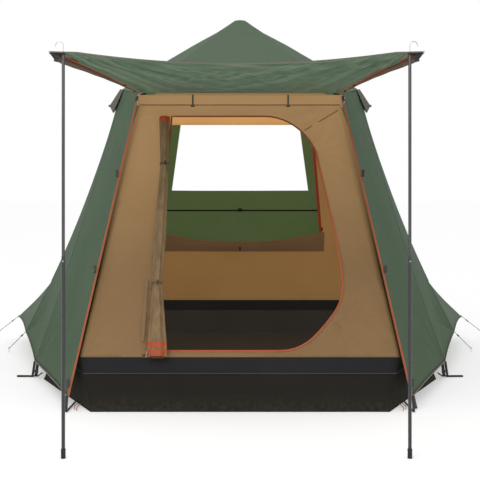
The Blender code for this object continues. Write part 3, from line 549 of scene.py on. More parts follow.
def cut_cloth(name, bm, normals, finishes, thickness, inside=1, **mapping):
    """Maps a shaped cloth, makes its object and its thickness, and returns it with its area."""
    map_cloth(bm, normals=normals, **mapping)
    area = sum(face.calc_area() for face in bm.faces)
    made = mesh_object(name, bm, *finishes)
    thickened(made, thickness, inside)
    return made, area


def nearest_line(point, lines):
    """The distance from a point to the nearest of the straight lines."""
    best = 10.0
    for first, second in lines:
        run = second - first
        share = max(0.0, min(1.0, (point - first).dot(run) / run.length_squared))
        best = min(best, (first + run * share - point).length)
    return best


def tension_folds(point, pulls):
    """Soft folds that fan out from the places where the cloth is pulled."""
    lift = 0.0
    for place, axis, other, depth, reach, count in pulls:
        away = point - place
        distance = away.length
        if distance > 3.0 * reach:
            continue
        angle = math.atan2(away.dot(other), away.dot(axis))
        lift += depth * math.exp(-distance / reach) * min(1.0, distance / 0.05) * math.sin(count * angle)
    return lift


def drawn_in(point, curves):
    """How far the cut of the cloth's edges and ridges draws a point from their straight lines."""
    shift = Vector()
    for first, second, way, reach in curves:
        run = second - first
        share = (point - first).dot(run) / run.length_squared
        if 0.0 < share < 1.0:
            near = max(0.0, 1.0 - (first + run * share - point).length / reach)
            shift += way * (4.0 * share * (1.0 - share) * near**2)
    return shift


def sewn_skin(name, corners, gores, passes, finishes, pulls=(), hollow=0.014, curves=(), panel_lights=()):
    """One sewn piece: smooth gores that meet at their seams, hollowed between them."""
    bm = bmesh.new()
    panel = bm.faces.layers.int.new("panel")
    gore_layer = bm.faces.layers.int.new("gore")
    panel_light_layer = bm.faces.layers.float.new("tone")
    verts = {key: bm.verts.new(place) for key, place in corners.items()}
    normals = []
    middle = Vector((0.0, 0.0, 0.9))
    for number, gore in enumerate(gores):
        for names in gore:
            points = [corners[key] for key in names]
            normal = (points[1] - points[0]).cross(points[2] - points[0]).normalized()
            centre = sum(points, Vector()) / len(points)
            if normal.dot(centre - middle) < 0:
                names = tuple(reversed(names))
                normal = -normal
            face = bm.faces.new([verts[key] for key in names])
            face[panel] = len(normals)
            face[gore_layer] = number
            face[panel_light_layer] = panel_lights[number] if panel_lights else 0.0
            normals.append(normal)
    for _ in range(passes):
        bmesh.ops.subdivide_edges(bm, edges=bm.edges[:], cuts=1, use_grid_fill=True)
    pinned = set()
    lines = []
    for edge in bm.edges:
        if len({face[gore_layer] for face in edge.link_faces}) > 1 or edge.is_boundary:
            pinned.update(edge.verts)
    for gore in gores:
        sides = [frozenset(pair) for names in gore for pair in zip(names, names[1:] + names[:1])]
        for pair in set(sides):
            if sides.count(pair) == 1:
                lines.append([corners[key] for key in pair])
    loose = [vert for vert in bm.verts if vert not in pinned]
    for _ in range(FLY_SMOOTHINGS):
        bmesh.ops.smooth_vert(
            bm, verts=loose, factor=0.5, use_axis_x=True, use_axis_y=True, use_axis_z=True
        )
    bm.normal_update()
    for vert in loose:
        near = nearest_line(vert.co, lines)
        share = 1.0 - math.exp(-near / FLY_HOLLOW_REACH)
        lift = -hollow * share
        lift += tension_folds(vert.co, pulls) * min(1.0, near / 0.06)
        lift += 0.004 * noise.noise(vert.co * 4.0) * share
        lift += 0.0025 * noise.noise(Vector((vert.co.x * 9.0, vert.co.y * 9.0, vert.co.z * 3.0))) * share
        vert.co += vert.normal * lift
    for vert in bm.verts:
        vert.co += drawn_in(vert.co, curves)
    return cut_cloth(name, bm, normals, finishes, FLY_THICKNESS, len(finishes) - 1)


def tape_finish(name, colour, rib=0.0018, thread=None, teeth=0.0, dirt=0.15, light=0.0):
    """Woven tape on its map, metres along it and shares across: ribs, stitched edges, and teeth."""
    made, pen = blank_material(name)
    flat = pen.node("UVMap", {"uv_map": "cut"})
    along = pen.node("SeparateXYZ", {}, {0: flat}, 0)
    across = pen.node("SeparateXYZ", {}, {0: flat}, 1)
    place = pen.node("TexCoord", output="Object")
    off = across.maths("ABSOLUTE", across)
    ribs = along.wave(rib)
    dash = along.maths("FRACT", along * 250.0) < 0.62
    stitched = (off > 0.34) * (off < 0.41) * dash
    rows = (off < 0.13) * (along.maths("FRACT", along * 420.0) < 0.5)
    worn = place.noisy(45.0, 4.0)
    broad = place.noisy(6.0, 3.0)
    base = pen.plain(colour)
    dark = tuple(0.55 * part for part in colour)
    shown = base.mixed(((broad - 0.4) * 2.0).clamped() * 0.35, (*dark, 1.0))
    shown = shown.mixed((off > 0.45) * worn * 0.5, (*tuple(min(1.0, 1.4 * p + 0.01) for p in colour), 1.0))
    shown = shown.mixed(stitched * 0.7, (*(thread or tuple(0.5 * part for part in colour)), 1.0))
    shown = shown.mixed((off < 0.13) * teeth, (*dark, 1.0))
    shown = shown.mixed(((worn - 0.5) * 3.0).clamped() * dirt, (0.05, 0.045, 0.035, 1.0))
    tall = ribs * 0.25 + stitched * 0.5 + rows * teeth * 1.5 + worn * 0.3
    bump = tall.bumped(0.4, 0.0008)
    sockets = {"Base Color": shown, "Roughness": worn * 0.2 + 0.6, "Normal": bump}
    # Painted light: with light set, the tape glows with its own colour.
    if light:
        sockets["Emission Color"] = shown
        sockets["Emission Strength"] = light
    return shaded(made, pen, sockets)


def ribbon(name, points, across, out, width, thickness, finish, body="root", slot="webbing", ring=False):
    """A flat tape through points on a surface; across and out give its width's way and its face."""
    count = len(points)
    across = across if isinstance(across, list) else [across] * count
    out = out if isinstance(out, list) else [out] * count
    bm = bmesh.new()
    layer = bm.loops.layers.uv.new("cut")
    length = 0.0
    sections = []
    for index in range(count + (1 if ring else 0)):
        here = index % count
        if index:
            length += (points[here] - points[index - 1]).length
        beside = across[here] * (width / 2)
        lift = out[here] * thickness
        corners = [
            points[here] - beside,
            points[here] + beside,
            points[here] + beside + lift,
            points[here] - beside + lift,
        ]
        if ring and index == count:
            sections.append((sections[0][0], length))
        else:
            sections.append(([bm.verts.new(corner) for corner in corners], length))
    shares = (-0.5, 0.5, 0.5, -0.5)
    for (first, start), (second, end) in zip(sections, sections[1:]):
        for side in range(4):
            after = (side + 1) % 4
            face = bm.faces.new((first[side], first[after], second[after], second[side]))
            places = (
                (start, shares[side]), (start, shares[after]), (end, shares[after]), (end, shares[side])
            )
            for loop, place in zip(face.loops, places):
                loop[layer].uv = place
    if not ring:
        bm.faces.new(sections[0][0])
        bm.faces.new(sections[-1][0])
    bmesh.ops.recalc_face_normals(bm, faces=bm.faces)
    made = mesh_object(name, bm, finish, smooth=False)
    fitted(made, body, slot)
    return made


TUB_LOWER = cloth_finish(
    "tub_lower", (0.0175, 0.0150, 0.0112), (0.0225, 0.0195, 0.0148), 0.0, 0.80, (0.12, 0.10)
)
TUB_UPPER = cloth_finish(
    "tub_upper", (0.0195, 0.0190, 0.0210), (0.0260, 0.0255, 0.0275), 0.0, 0.78, (0.0, 0.1)
)
# Painted light: the tub's inside faces glow, lifting the dark floor and walls seen through the doorway.
TUB_INSIDE = cloth_finish(
    "tub_inside", (0.0330, 0.0285, 0.0230), (0.0400, 0.0350, 0.0285), 0.0, 0.80, (0.0, 0.1), light=0.55
)
TUB_INSIDE_UPPER = cloth_finish(
    "tub_inside_upper", (0.0155, 0.0140, 0.0130), (0.0200, 0.0185, 0.0175), 0.0, 0.80, (0.0, 0.1), light=0.5
)
SEAM_TAPE = tape_finish("seam_tape", (0.026, 0.025, 0.023))


def inner_corner(key, height, side):
    """A point up a corner of the walls, within the tub; the front corners flare out."""
    x, y = FLOOR_CORNERS[key]
    eave = Vector((INNER_EAVE[0], math.copysign(INNER_EAVE[1], y), INNER_EAVE[2]))
    flare = TUB_FRONT_FLARE * height / TUB_TOP if key == "front" else 0.0
    place = Vector((x, y, 0.0)).lerp(eave, height / INNER_EAVE[2])
    return mirrored(place + Vector((flare, 0.0, 0.0)), side)


TUB_ROUND = [(key, 1) for key in FLOOR_CORNERS] + [(key, -1) for key in reversed(FLOOR_CORNERS)]


def tub_wrinkle(point):
    """How far the wall bulges or the floor lies up off the ground."""
    if point.z < 0.001:
        return 0.003 + 0.008 * max(0.0, noise.noise(Vector((point.x * 2.5, point.y * 2.5, 0.0))))
    free = min(1.0, point.z / 0.05, max(0.0, TUB_TOP - point.z) / 0.04)
    broad = noise.noise(Vector((point.x * 6.0, point.y * 6.0, point.z * 3.0)))
    fine = noise.noise(Vector((point.x * 22.0, point.y * 22.0, point.z * 9.0)))
    return free * (0.005 * broad + 0.002 * fine - 0.003)


def tub():
    bm = bmesh.new()
    panel = bm.faces.layers.int.new("panel")
    heights = (0.0, TUB_SEAM, TUB_TOP - 0.0003)
    rows = [
        [bm.verts.new(inner_corner(key, height, side)) for key, side in TUB_ROUND]
        for height in heights
    ]
    low = rows[0]
    normals = [UP]
    for first, second, third, fourth in ((7, 0, 1, 6), (6, 1, 2, 5), (5, 2, 3, 4)):
        bm.faces.new((low[first], low[second], low[third], low[fourth])).material_index = 2
    for index in range(8):
        after = (index + 1) % 8
        run = low[after].co - low[index].co
        normal = run.cross(rows[2][index].co - low[index].co).normalized()
        for number in range(2):
            lower, upper = rows[number], rows[number + 1]
            face = bm.faces.new((lower[index], lower[after], upper[after], upper[index]))
            face[panel] = len(normals)
            face.material_index = number
        normals.append(normal)
    for _ in range(TUB_PASSES):
        bmesh.ops.subdivide_edges(bm, edges=bm.edges[:], cuts=1, use_grid_fill=True)
    bm.normal_update()
    for vert in bm.verts:
        vert.co += vert.normal * tub_wrinkle(vert.co)
    finishes = (TUB_LOWER, TUB_UPPER, TUB_INSIDE, TUB_INSIDE_UPPER)
    made, area = cut_cloth("tub", bm, normals, finishes, TUB_THICKNESS, 2)
    fitted(made, "root", "tub_sheet", "groundsheet_tub")
    places = [inner_corner(key, TUB_SEAM, side) for key, side in TUB_ROUND]
    outs = []
    ups = []
    for index, place in enumerate(places):
        before = places[index - 1]
        after = places[(index + 1) % 8]
        key, side = TUB_ROUND[index]
        up = (inner_corner(key, TUB_TOP, side) - place).normalized()
        outs.append((after - before).cross(up).normalized())
        ups.append(up)
    points = []
    across = []
    facing = []
    for index in range(8):
        after = (index + 1) % 8
        for step in range(12):
            share = step / 12
            out = outs[index].lerp(outs[after], share)
            points.append(places[index].lerp(places[after], share) + out * TUB_TAPE_STAND)
            across.append(ups[index].lerp(ups[after], share).normalized())
            facing.append(out.normalized())
    tape = ribbon(
        "tub_seam_tape", points, across, facing, 0.007, 0.0012, SEAM_TAPE, slot="tub_sheet", ring=True
    )


tub()

# Inner tent: breathable tan polyester, hung inside the frame. A front wall with the D-shaped
# doorway, a rear wall with its opening, three-part sides and a pyramid ceiling.
INNER_THICKNESS = 0.0008
INNER_PEAK = Vector((0.0, 0.0, 2.255))
# Painted light: the inner tent's cloth glows for the daylight through the fly. Outside, the glow fades out
# below 0.75 m; inside, it is weaker below 1.6 m; the ceiling glows most.
INNER_CLOTH = cloth_finish(
    "inner_outside",
    (0.300, 0.182, 0.084),
    (0.258, 0.150, 0.066),
    0.0,
    0.8,
    (0.10, 0.4),
    light=0.84,
    rise=(0.75, 1.75, 0.0),
)
INNER_LIT = cloth_finish(
    "inner_inside",
    (0.300, 0.170, 0.062),
    (0.255, 0.140, 0.048),
    0.0,
    0.8,
    light=1.60,
    rise=(1.60, 1.69, 0.345),
)
CEILING_LIT = cloth_finish(
    "ceiling_inside", (0.330, 0.190, 0.088), (0.285, 0.160, 0.070), 0.0, 0.8, light=2.30
)


def cubic(p0, p1, p2, p3, count):
    found = []
    for step in range(count):
        t = step / count
        shares = ((1 - t) ** 3, 3 * t * (1 - t) ** 2, 3 * t**2 * (1 - t), t**3)
        found.append(sum((share * Vector(p) for share, p in zip(shares, (p0, p1, p2, p3))), Vector((0, 0))))
    return found


WALL_FOOT = 1.285
WALL_LEAN = 0.77
WALL_RISE = INNER_EAVE[2]
SLOPE = math.hypot(WALL_FOOT - INNER_EAVE[1], WALL_RISE) / WALL_RISE


def door_edge():
    """The doorway's edge as (x, height), from its lower left corner and clockwise from outside."""
    points = [Vector((-0.5236, 0.3124)), Vector((-0.429, 1.677))]
    shoulder = Vector((0.472, 1.4517))
    widest = Vector((0.603, 0.68))
    bend = Vector((0.489, 0.4504))
    end = Vector((0.2276, 0.3124))
    lean = Vector((widest.x - shoulder.x, (widest.y - shoulder.y) * SLOPE)).normalized()

    def bent(place, x, y):
        return Vector((place.x + x, place.y + y / SLOPE))

    start = Vector((0.158, 1.677))
    points += cubic(
        start, bent(start, 0.16, 0), bent(shoulder, -0.02 - 0.11 * lean.x, -0.11 * lean.y), shoulder, 12
    )
    points += cubic(
        shoulder, bent(shoulder, 0.22 * lean.x, 0.22 * lean.y), bent(widest, 0, 0.20), widest, 10
    )
    points += cubic(widest, bent(widest, 0, -0.12), bent(bend, 0.05, 0.06), bend, 8)
    points += cubic(bend, bent(bend, -0.06, -0.07), bent(end, 0.13, 0), end, 8)
    points.append(end)
    return points


DOOR_EDGE = door_edge()


WALL_CLOTH = (INNER_CLOTH, INNER_LIT)
WALL_REFININGS = 4


def end_wall_point(x, height, end):
    """A point of an end wall's outer face; end is -1 for the front and 1 for the back."""
    return Vector((x, end * (WALL_FOOT - WALL_LEAN * height / WALL_RISE), height))


def end_wall_out(end):
    return Vector((0.0, end * WALL_RISE, WALL_LEAN)).normalized()


def end_wall_up(end):
    return Vector((0.0, -end * WALL_LEAN, WALL_RISE)).normalized()


def wall_half_width(height, end):
    """Half the end wall's width at a height, out to its sewn corners."""
    low = inner_corner("front" if end < 0 else "back", TUB_TOP, 1).x
    return low + (INNER_EAVE[0] - low) * (height - TUB_TOP) / (INNER_EAVE[2] - TUB_TOP)


def wall_with_opening(name, end, hole, wrinkle, flat, *nodes):
    """An end wall: the outline joined to its opening's edge, filled, refined and softly creased."""
    bm = bmesh.new()
    low, high = TUB_TOP, INNER_EAVE[2]
    outline = []
    border = [
        (-wall_half_width(low, end), low),
        (wall_half_width(low, end), low),
        (wall_half_width(high, end), high),
        (-wall_half_width(high, end), high),
    ]
    for (x0, z0), (x1, z1) in zip(border, border[1:] + border[:1]):
        for share in (step / 24 for step in range(24)):
            outline.append((x0 + (x1 - x0) * share, z0 + (z1 - z0) * share))
    loops = []
    for loop in (outline, hole):
        verts = [bm.verts.new(end_wall_point(x, height, end)) for x, height in loop]
        loops += [bm.edges.new(pair) for pair in zip(verts, verts[1:] + verts[:1])]
    bmesh.ops.triangle_fill(bm, use_beauty=True, use_dissolve=False, edges=loops)
    edges = [
        (end_wall_point(*first, end), end_wall_point(*second, end))
        for loop in (border, hole)
        for first, second in zip(loop, loop[1:] + loop[:1])
    ]
    for _ in range(WALL_REFININGS):
        long_edges = [edge for edge in bm.edges if edge.calc_length() > 0.03]
        bmesh.ops.subdivide_edges(bm, edges=long_edges, cuts=1, use_grid_fill=False)
        bmesh.ops.triangulate(bm, faces=bm.faces[:])
    normal = end_wall_out(end)
    for face in bm.faces:
        if face.normal.dot(normal) < 0:
            face.normal_flip()
    bm.normal_update()
    for vert in bm.verts:
        near = nearest_line(vert.co, edges)
        vert.co += normal * wrinkle(vert.co) * min(1.0, near / 0.05)
    bm.faces.layers.int.new("panel")
    made, area = cut_cloth(name, bm, [normal], WALL_CLOTH, INNER_THICKNESS)
    fitted(made, "root", "inner_cloth", *nodes)
    return made


def front_wall_wrinkle(point):
    """Pulls from the doorway's curved corner and the sill, and slack at the sides."""
    out = 0.0
    places = (
        (Vector((0.55, -1.09, 0.50)), 0.0060, 0.22, 17.0),
        (Vector((0.47, -0.66, 1.45)), 0.0050, 0.20, 13.0),
        (Vector((-0.90, -1.16, 0.30)), 0.0060, 0.30, 13.0),
        (Vector((0.90, -1.16, 0.30)), 0.0060, 0.30, 13.0),
        (Vector((-0.59, -0.52, 1.74)), 0.0060, 0.28, 15.0),
        (Vector((0.59, -0.52, 1.74)), 0.0060, 0.28, 15.0),
    )
    for place, depth, reach, count in places:
        away = point - place
        angle = math.atan2(away.z, away.x)
        distance = away.length
        out += depth * math.exp(-distance / reach) * min(1.0, distance / 0.05) * math.sin(count * angle)
    out += 0.009 * noise.noise(Vector((point.x * 4.0, 0.4, point.z * 1.3)))
    out += 0.0035 * noise.noise(Vector((point.x * 12.0, 1.4, point.z * 4.0)))
    out += 0.0015 * noise.noise(Vector((point.x * 30.0, 2.4, point.z * 12.0)))
    return out - 0.002


wall_with_opening(
    "inner_front",
    -1,
    [tuple(point) for point in DOOR_EDGE],
    front_wall_wrinkle,
    (1.81, 1.61),
    "inner_front_wall",
)


def rear_wall_wrinkle(point):
    return 0.003 * noise.noise(Vector((point.x * 6.0, 3.4, point.z * 2.5)))


REAR_SILL = (0.645, 0.72)
REAR_LINTEL = (0.535, 1.669)
REAR_HOLE = [(-REAR_SILL[0], REAR_SILL[1]), REAR_SILL, REAR_LINTEL, (-REAR_LINTEL[0], REAR_LINTEL[1])]
wall_with_opening("inner_rear", 1, REAR_HOLE, rear_wall_wrinkle, (1.60, 1.61), "inner_back_wall")


def inner_sheet(name, corners, faces, passes, flat, *nodes, finishes=WALL_CLOTH, hollow=0.006):
    """A panel or a group of panels of the inner tent, sewn along straight seams."""
    made, area = sewn_skin(
        name, corners, [[face] for face in faces], passes, finishes, (), hollow
    )
    made.modifiers["cloth"].thickness = INNER_THICKNESS
    fitted(made, "root", "inner_cloth", *nodes)
    return made


for side_word, side_sign in SIDES.items():
    places = {key: inner_corner(key, TUB_TOP, side_sign) for key in FLOOR_CORNERS}
    places["front_eave"] = mirrored((INNER_EAVE[0], -INNER_EAVE[1], INNER_EAVE[2]), side_sign)
    places["back_eave"] = mirrored(INNER_EAVE, side_sign)
    inner_sheet(
        f"{side_word}_inner_side",
        places,
        [
            ("front_eave", "front", "front_side"),
            ("front_eave", "front_side", "back_side", "back_eave"),
            ("back_eave", "back_side", "back"),
        ],
        5,
        (2.44, 1.57),
        f"inner_wall_{side_word}",
        f"inner_front_corner_{side_word}",
        f"inner_back_corner_{side_word}",
    )
ceiling_places = {
    "peak": INNER_PEAK,
    "front_left": mirrored((INNER_EAVE[0], -INNER_EAVE[1], INNER_EAVE[2]), -1),
    "front_right": Vector((INNER_EAVE[0], -INNER_EAVE[1], INNER_EAVE[2])),
    "back_left": mirrored(INNER_EAVE, -1),
    "back_right": Vector(INNER_EAVE),
}
inner_sheet(
    "inner_roof",
    ceiling_places,
    [
        ("front_left", "front_right", "peak"),
        ("front_right", "back_right", "peak"),
        ("back_right", "back_left", "peak"),
        ("back_left", "front_left", "peak"),
    ],
    5,
    (1.84, 1.66),
    "inner_ceiling",
    finishes=(INNER_CLOTH, CEILING_LIT),
)

# Front head of the inner tent: a valance sewn along the wall's top seam, which hides the frame's
# corners, with hanging straps, tapes over the seams, and the front zips' cord pulls.
VALANCE_LOW = 1.750
VALANCE_HIGH = 1.814
VALANCE_HALF_WIDTH = 0.648
# A tan tape that glows a little, painted light. As a wider strip it is also the painted shade of the door's
# edge fold.
TAN_TAPE_AND_FOLD_SHADE = tape_finish("tan_tape_and_fold_shade", (0.215, 0.128, 0.058), 0.0016, dirt=0.05, light=0.10)
GREEN_HANGER = tape_finish("green_hanger", (0.050, 0.075, 0.042), 0.0020)
WHITE_CORD = cord_finish("white_cord", (0.62, 0.55, 0.52), (0.85, 0.82, 0.80))


def valance():
    bm = bmesh.new()
    bmesh.ops.create_grid(bm, x_segments=90, y_segments=6, size=1.0)
    for vert in bm.verts:
        share = (vert.co.y + 1.0) / 2.0
        x = vert.co.x * VALANCE_HALF_WIDTH
        wave = 0.003 * noise.noise(Vector((x * 7.0, share * 2.0, 5.0))) * (1.0 - abs(2 * share - 1.0))
        height = VALANCE_LOW + (VALANCE_HIGH - VALANCE_LOW) * share
        vert.co = Vector((x, -0.5178 - 0.020 * share + wave, height))
    bm.faces.layers.int.new("panel")
    made, _ = cut_cloth("front_valance", bm, [FORWARDS], (INNER_CLOTH,), INNER_THICKNESS, 0)
    fitted(made, "root", "inner_cloth")


valance()


def tan_strip(name, points, width=0.007):
    out = Vector((0.0, -1.0, 0.15)).normalized()
    across = (points[-1] - points[0]).cross(out).normalized()
    ribbon(name, points, across, out, width, 0.0012, TAN_TAPE_AND_FOLD_SHADE, slot="inner_cloth")


def spaced(first, second, count=24):
    return [first.lerp(second, step / count) for step in range(count + 1)]


tan_strip(
    "head_seam_tape", spaced(Vector((-0.634, -0.5186, 1.752)), Vector((0.634, -0.5186, 1.752)), 60)
)
shoulder_start = end_wall_point(0.618, 1.716, -1) + Vector((0.0, -0.0060, 0.0))
shoulder_end = end_wall_point(0.405, 1.588, -1) + Vector((0.0, -0.0050, 0.0))
tan_strip("shoulder_seam_tape", spaced(shoulder_start, shoulder_end), 0.006)
# A darker tan strip down the doorway's left edge: painted shade of the fold at the door's edge.
fold_shade_places = ((-0.548, 0.70), (-0.550, 0.60), (-0.558, 0.335))
fold_shade_points = []
for (x0, z0), (x1, z1) in zip(fold_shade_places, fold_shade_places[1:]):
    fold_shade_points += [
        end_wall_point(x0 + (x1 - x0) * share, z0 + (z1 - z0) * share, -1) + Vector((0.0, -0.010, 0.002))
        for share in (step / 10 for step in range(10))
    ]
tan_strip("door_edge_fold_shade", fold_shade_points, 0.022)
for number, x in enumerate((-0.298, 0.304)):
    ribbon(
        f"hanging_strap_{number + 1}",
        spaced(Vector((x, -0.548, 1.815)), Vector((x, -0.540, 1.748))),
        RIGHTWARDS,
        FORWARDS,
        0.010,
        0.0015,
        GREEN_HANGER,
    )
    toggle = box_along(
        f"hanging_toggle_{number + 1}",
        Vector((x, -0.543, 1.742)),
        RIGHTWARDS,
        FORWARDS,
        (0.008, 0.008, 0.026),
        BLACK_RESIN,
        0.002,
        3,
    )
    fitted(toggle, "root", "black_resin")
CORD_PULLS = {
    "left": ((-0.622, 1.826), (-0.640, 1.812), (-0.650, 1.790), (-0.647, 1.765), (-0.650, 1.738)),
    "right": ((0.640, 1.806), (0.652, 1.790), (0.650, 1.768), (0.640, 1.752), (0.636, 1.730)),
}
for side_word, places in CORD_PULLS.items():
    for strand in range(2):
        apart = Vector((0.006, -0.003, 0.0)) * strand
        points = []
        for (x0, z0), (x1, z1) in zip(places, places[1:]):
            points += [
                Vector((x0 + (x1 - x0) * share, -0.585, z0 + (z1 - z0) * share)) + apart
                for share in (step / 6 for step in range(6))
            ]
        pull = tube_along(f"front_zip_pull_{side_word}_{strand + 1}", points, 0.0022, WHITE_CORD, 3)
        fitted(pull, "root", "rope")
    clip = box_along(
        f"front_zip_clip_{side_word}",
        Vector((SIDES[side_word] * 0.648, -0.592, 1.788)),
        Vector((SIDES[side_word] * 0.3, 0.0, -1.0)).normalized(),
        FORWARDS,
        (0.016, 0.010, 0.034),
        BLACK_RESIN,
        0.003,
        3,
    )
    fitted(clip, "root", "black_resin")

# Doorway: an orange zip tape sewn round the D, and the door itself, tied back in a roll down its
# left side. The zip's orange halves are wound into the roll and show as bands at its ends.
DOOR_ZIP = tape_finish("door_zip", (0.46, 0.100, 0.034), 0.0020, (0.26, 0.05, 0.018), dirt=0.1)
DOOR_ZIP_WIDTH = 0.010
WALL_UP = end_wall_up(-1)
WALL_OUT = end_wall_out(-1)


def flat_ribbon(name, places, width, lift, finish, end=-1, ring=False, **options):
    """A tape on an end wall, through its (x, height) places; lift is how far it stands off."""
    outwards = end_wall_out(end)
    points = [end_wall_point(*place, end) + outwards * lift for place in places]
    across = []
    for index, point in enumerate(points):
        before = points[index - 1] if ring or index else point
        after = points[(index + 1) % len(points)] if ring or index + 1 < len(points) else point
        across.append((after - before).cross(outwards).normalized())
    facing = outwards if lift >= 0 else -outwards
    return ribbon(name, points, across, facing, width, 0.0014, finish, ring=ring, **options)


def finer(places, step=0.02):
    """The same outline with points no further apart than the step."""
    found = []
    for first, second in zip(places, places[1:] + places[:1]):
        first, second = Vector(first), Vector(second)
        count = max(1, round((second - first).length / step))
        found += [first.lerp(second, number / count) for number in range(count)]
    return found


DOOR_ROUND = finer(DOOR_EDGE)
flat_ribbon(
    "door_zip_tape", DOOR_ROUND, DOOR_ZIP_WIDTH, 0.0008, DOOR_ZIP, ring=True, slot="orange_tape"
)
ROLL_TOP = 1.665
ROLL_FOOT = 0.272
ROLL_AXIS = ((0.272, -0.467), (0.68, -0.486), (1.37, -0.466), (1.665, -0.475))
ROLL_HALF_WIDTH = (
    (0.272, 0.052), (0.50, 0.040), (0.68, 0.026), (0.95, 0.034), (1.37, 0.024), (1.665, 0.031)
)
ROLL_LIFT = ((0.272, 0.0086), (0.40, 0.0086), (0.56, 0.0003), (1.665, 0.0003))
ROLL_FLATNESS = 0.6
ROLL_BANDS = ((0.266, 0.292), (0.307, 0.331), (0.344, 0.371), (1.640, 1.70))
ROLL_SIDES = 60
ROLL_STEPS = 150
ROLL_TURNS = 8
ROLL_CORE = 0.2
ROLL_EDGE_TURN = 2.2


def along_table(height, table):
    """The value at a height, straight between the table's (height, value) pairs."""
    for (low, start), (high, end) in zip(table, table[1:]):
        if height <= high or (high, end) == table[-1]:
            share = max(0.0, min(1.0, (height - low) / (high - low)))
            return start + (end - start) * share
    return table[-1][1]


def roll_finish():
    """The rolled door's cloth, with painted shade and painted light in streaks along its folds, and the
    zip's orange bands.
    """
    made, pen = blank_material("rolled_door")
    flat = pen.node("UVMap", {"uv_map": "cut"})
    place = pen.node("TexCoord", output="Object")
    height = pen.node("SeparateXYZ", {}, {0: place}, 2)
    wander = place.noisy(30.0, 2.0)
    level = height + (wander - 0.5) * 0.012
    banded = None
    for low, high in ROLL_BANDS:
        band = (level > low) * (level < high)
        banded = band if banded is None else banded.larger(band)
    long_place = turned_place(pen, place, (0.0, 0.0, 0.0), (1.0, 1.0, 0.04))
    folds = long_place.noisy(34.0, 3.0)
    weave = place.noisy(900.0, 2.0)
    creased = flat.noisy(22.0, 5.0, 0.8)
    # Painted shade and painted light: darker and paler streaks along the roll's folds, then paler creases.
    cloth = folds.ramp((0.30, (0.170, 0.106, 0.048)), (0.66, (0.262, 0.170, 0.080)))
    cloth = cloth.mixed(((creased - 0.5) * 2.0).clamped() * 0.5, (0.31, 0.205, 0.105, 1.0))
    tape = weave.ramp((0.3, (0.36, 0.055, 0.015)), (0.7, (0.58, 0.10, 0.026)))
    shown = cloth.mixed(banded, tape)
    tall = folds * 1.4 + creased * 0.5 + weave * 0.1 + banded * 0.25
    bump = tall.bumped(0.45, 0.004)
    return shaded(made, pen, {"Base Color": shown, "Roughness": weave * 0.1 + 0.72, "Normal": bump})


def roll_section(height, grown=1.0, turns=1):
    """The rolled cloth at a height, from its inner turns out, and once round the outside."""
    share = (ROLL_TOP - height) / (ROLL_TOP - ROLL_FOOT)
    half_width = along_table(height, ROLL_HALF_WIDTH)
    half_depth = half_width * ROLL_FLATNESS
    face = end_wall_point(along_table(height, ROLL_AXIS), height, -1)
    section = []
    for index in range(ROLL_SIDES * turns):
        angle = math.tau * index / ROLL_SIDES + ROLL_EDGE_TURN
        fold = 1.0 + 0.13 * math.sin(6 * angle + 1.2 * share)
        fold += 0.055 * math.sin(13 * angle - 2.3 * share + 0.6) + 0.03 * math.sin(23 * angle + 5.0 * share)
        fold += 0.05 * noise.noise(Vector((2.0 * math.cos(angle), 2.0 * math.sin(angle), height * 7.0)))
        if turns > 1:
            unrolled = min(1.0, (index + ROLL_SIDES * 0.1) / (ROLL_SIDES * turns))
            fold *= ROLL_CORE + (1.0 - ROLL_CORE) * unrolled
        section.append((half_width * fold * math.cos(angle), half_depth * fold * math.sin(angle)))
    seat = along_table(height, ROLL_LIFT) - min(depth for _, depth in section)
    return [
        face + Vector((beside * grown, 0.0, 0.0)) + WALL_OUT * (seat + depth * grown)
        for beside, depth in section
    ]


def rolled_sheet(name, rows, step, round_step, finish):
    """Cloth through rows of points, mapped in metres, as one open sheet."""
    bm = bmesh.new()
    layer = bm.loops.layers.uv.new("cut")
    bm.faces.layers.int.new("panel")
    loops = [[bm.verts.new(point) for point in row] for row in rows]
    for number, (first, second) in enumerate(zip(loops, loops[1:])):
        for index in range(len(first) - 1):
            face = bm.faces.new((first[index], first[index + 1], second[index + 1], second[index]))
            places = (
                (index, number), (index + 1, number), (index + 1, number + 1), (index, number + 1)
            )
            for loop, (turn, row) in zip(face.loops, places):
                loop[layer].uv = (turn * round_step, row * step)
    bmesh.ops.recalc_face_normals(bm, faces=bm.faces)
    made = mesh_object(name, bm, finish)
    fitted(made, "root", "inner_cloth")
    return made


def door_roll():
    step = (ROLL_TOP - ROLL_FOOT) / ROLL_STEPS
    rows = [roll_section(ROLL_TOP - step * number, turns=ROLL_TURNS) for number in range(ROLL_STEPS + 1)]
    made = rolled_sheet("rolled_door", rows, step, 0.16 / ROLL_SIDES, roll_finish())
    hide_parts("door_roll")
    return made


rolled_door = door_roll()
TIE_HEIGHTS = (1.371, 0.674)
TIE_FINISH = tape_finish("door_tie", (0.115, 0.078, 0.042), dirt=0.2)
TOGGLE_SIZE = (0.009, 0.009, 0.030)
for number, tie_height in enumerate(TIE_HEIGHTS):
    loop_points = roll_section(tie_height, 1.06)[:: 4]
    centre = sum(loop_points, Vector()) / len(loop_points)
    facings = [(point - centre).normalized() for point in loop_points]
    ribbon(
            f"door_tie_{number + 1}",
            loop_points,
            WALL_UP,
            facings,
            0.012,
            0.0014,
            TIE_FINISH,
            slot="webbing",
            ring=True,
        )
    front = max(loop_points, key=lambda point: point.dot(WALL_OUT))
    toggle = box_along(
        f"door_tie_toggle_{number + 1}",
        front + WALL_OUT * 0.007,
        WALL_UP,
        WALL_OUT,
        TOGGLE_SIZE,
        BLACK_RESIN,
        0.003,
        3,
    )
    fitted(toggle, "root", "black_resin")
PULL_FINISH = cord_finish("zip_pull_cord", (0.62, 0.40, 0.34), (0.80, 0.70, 0.66))
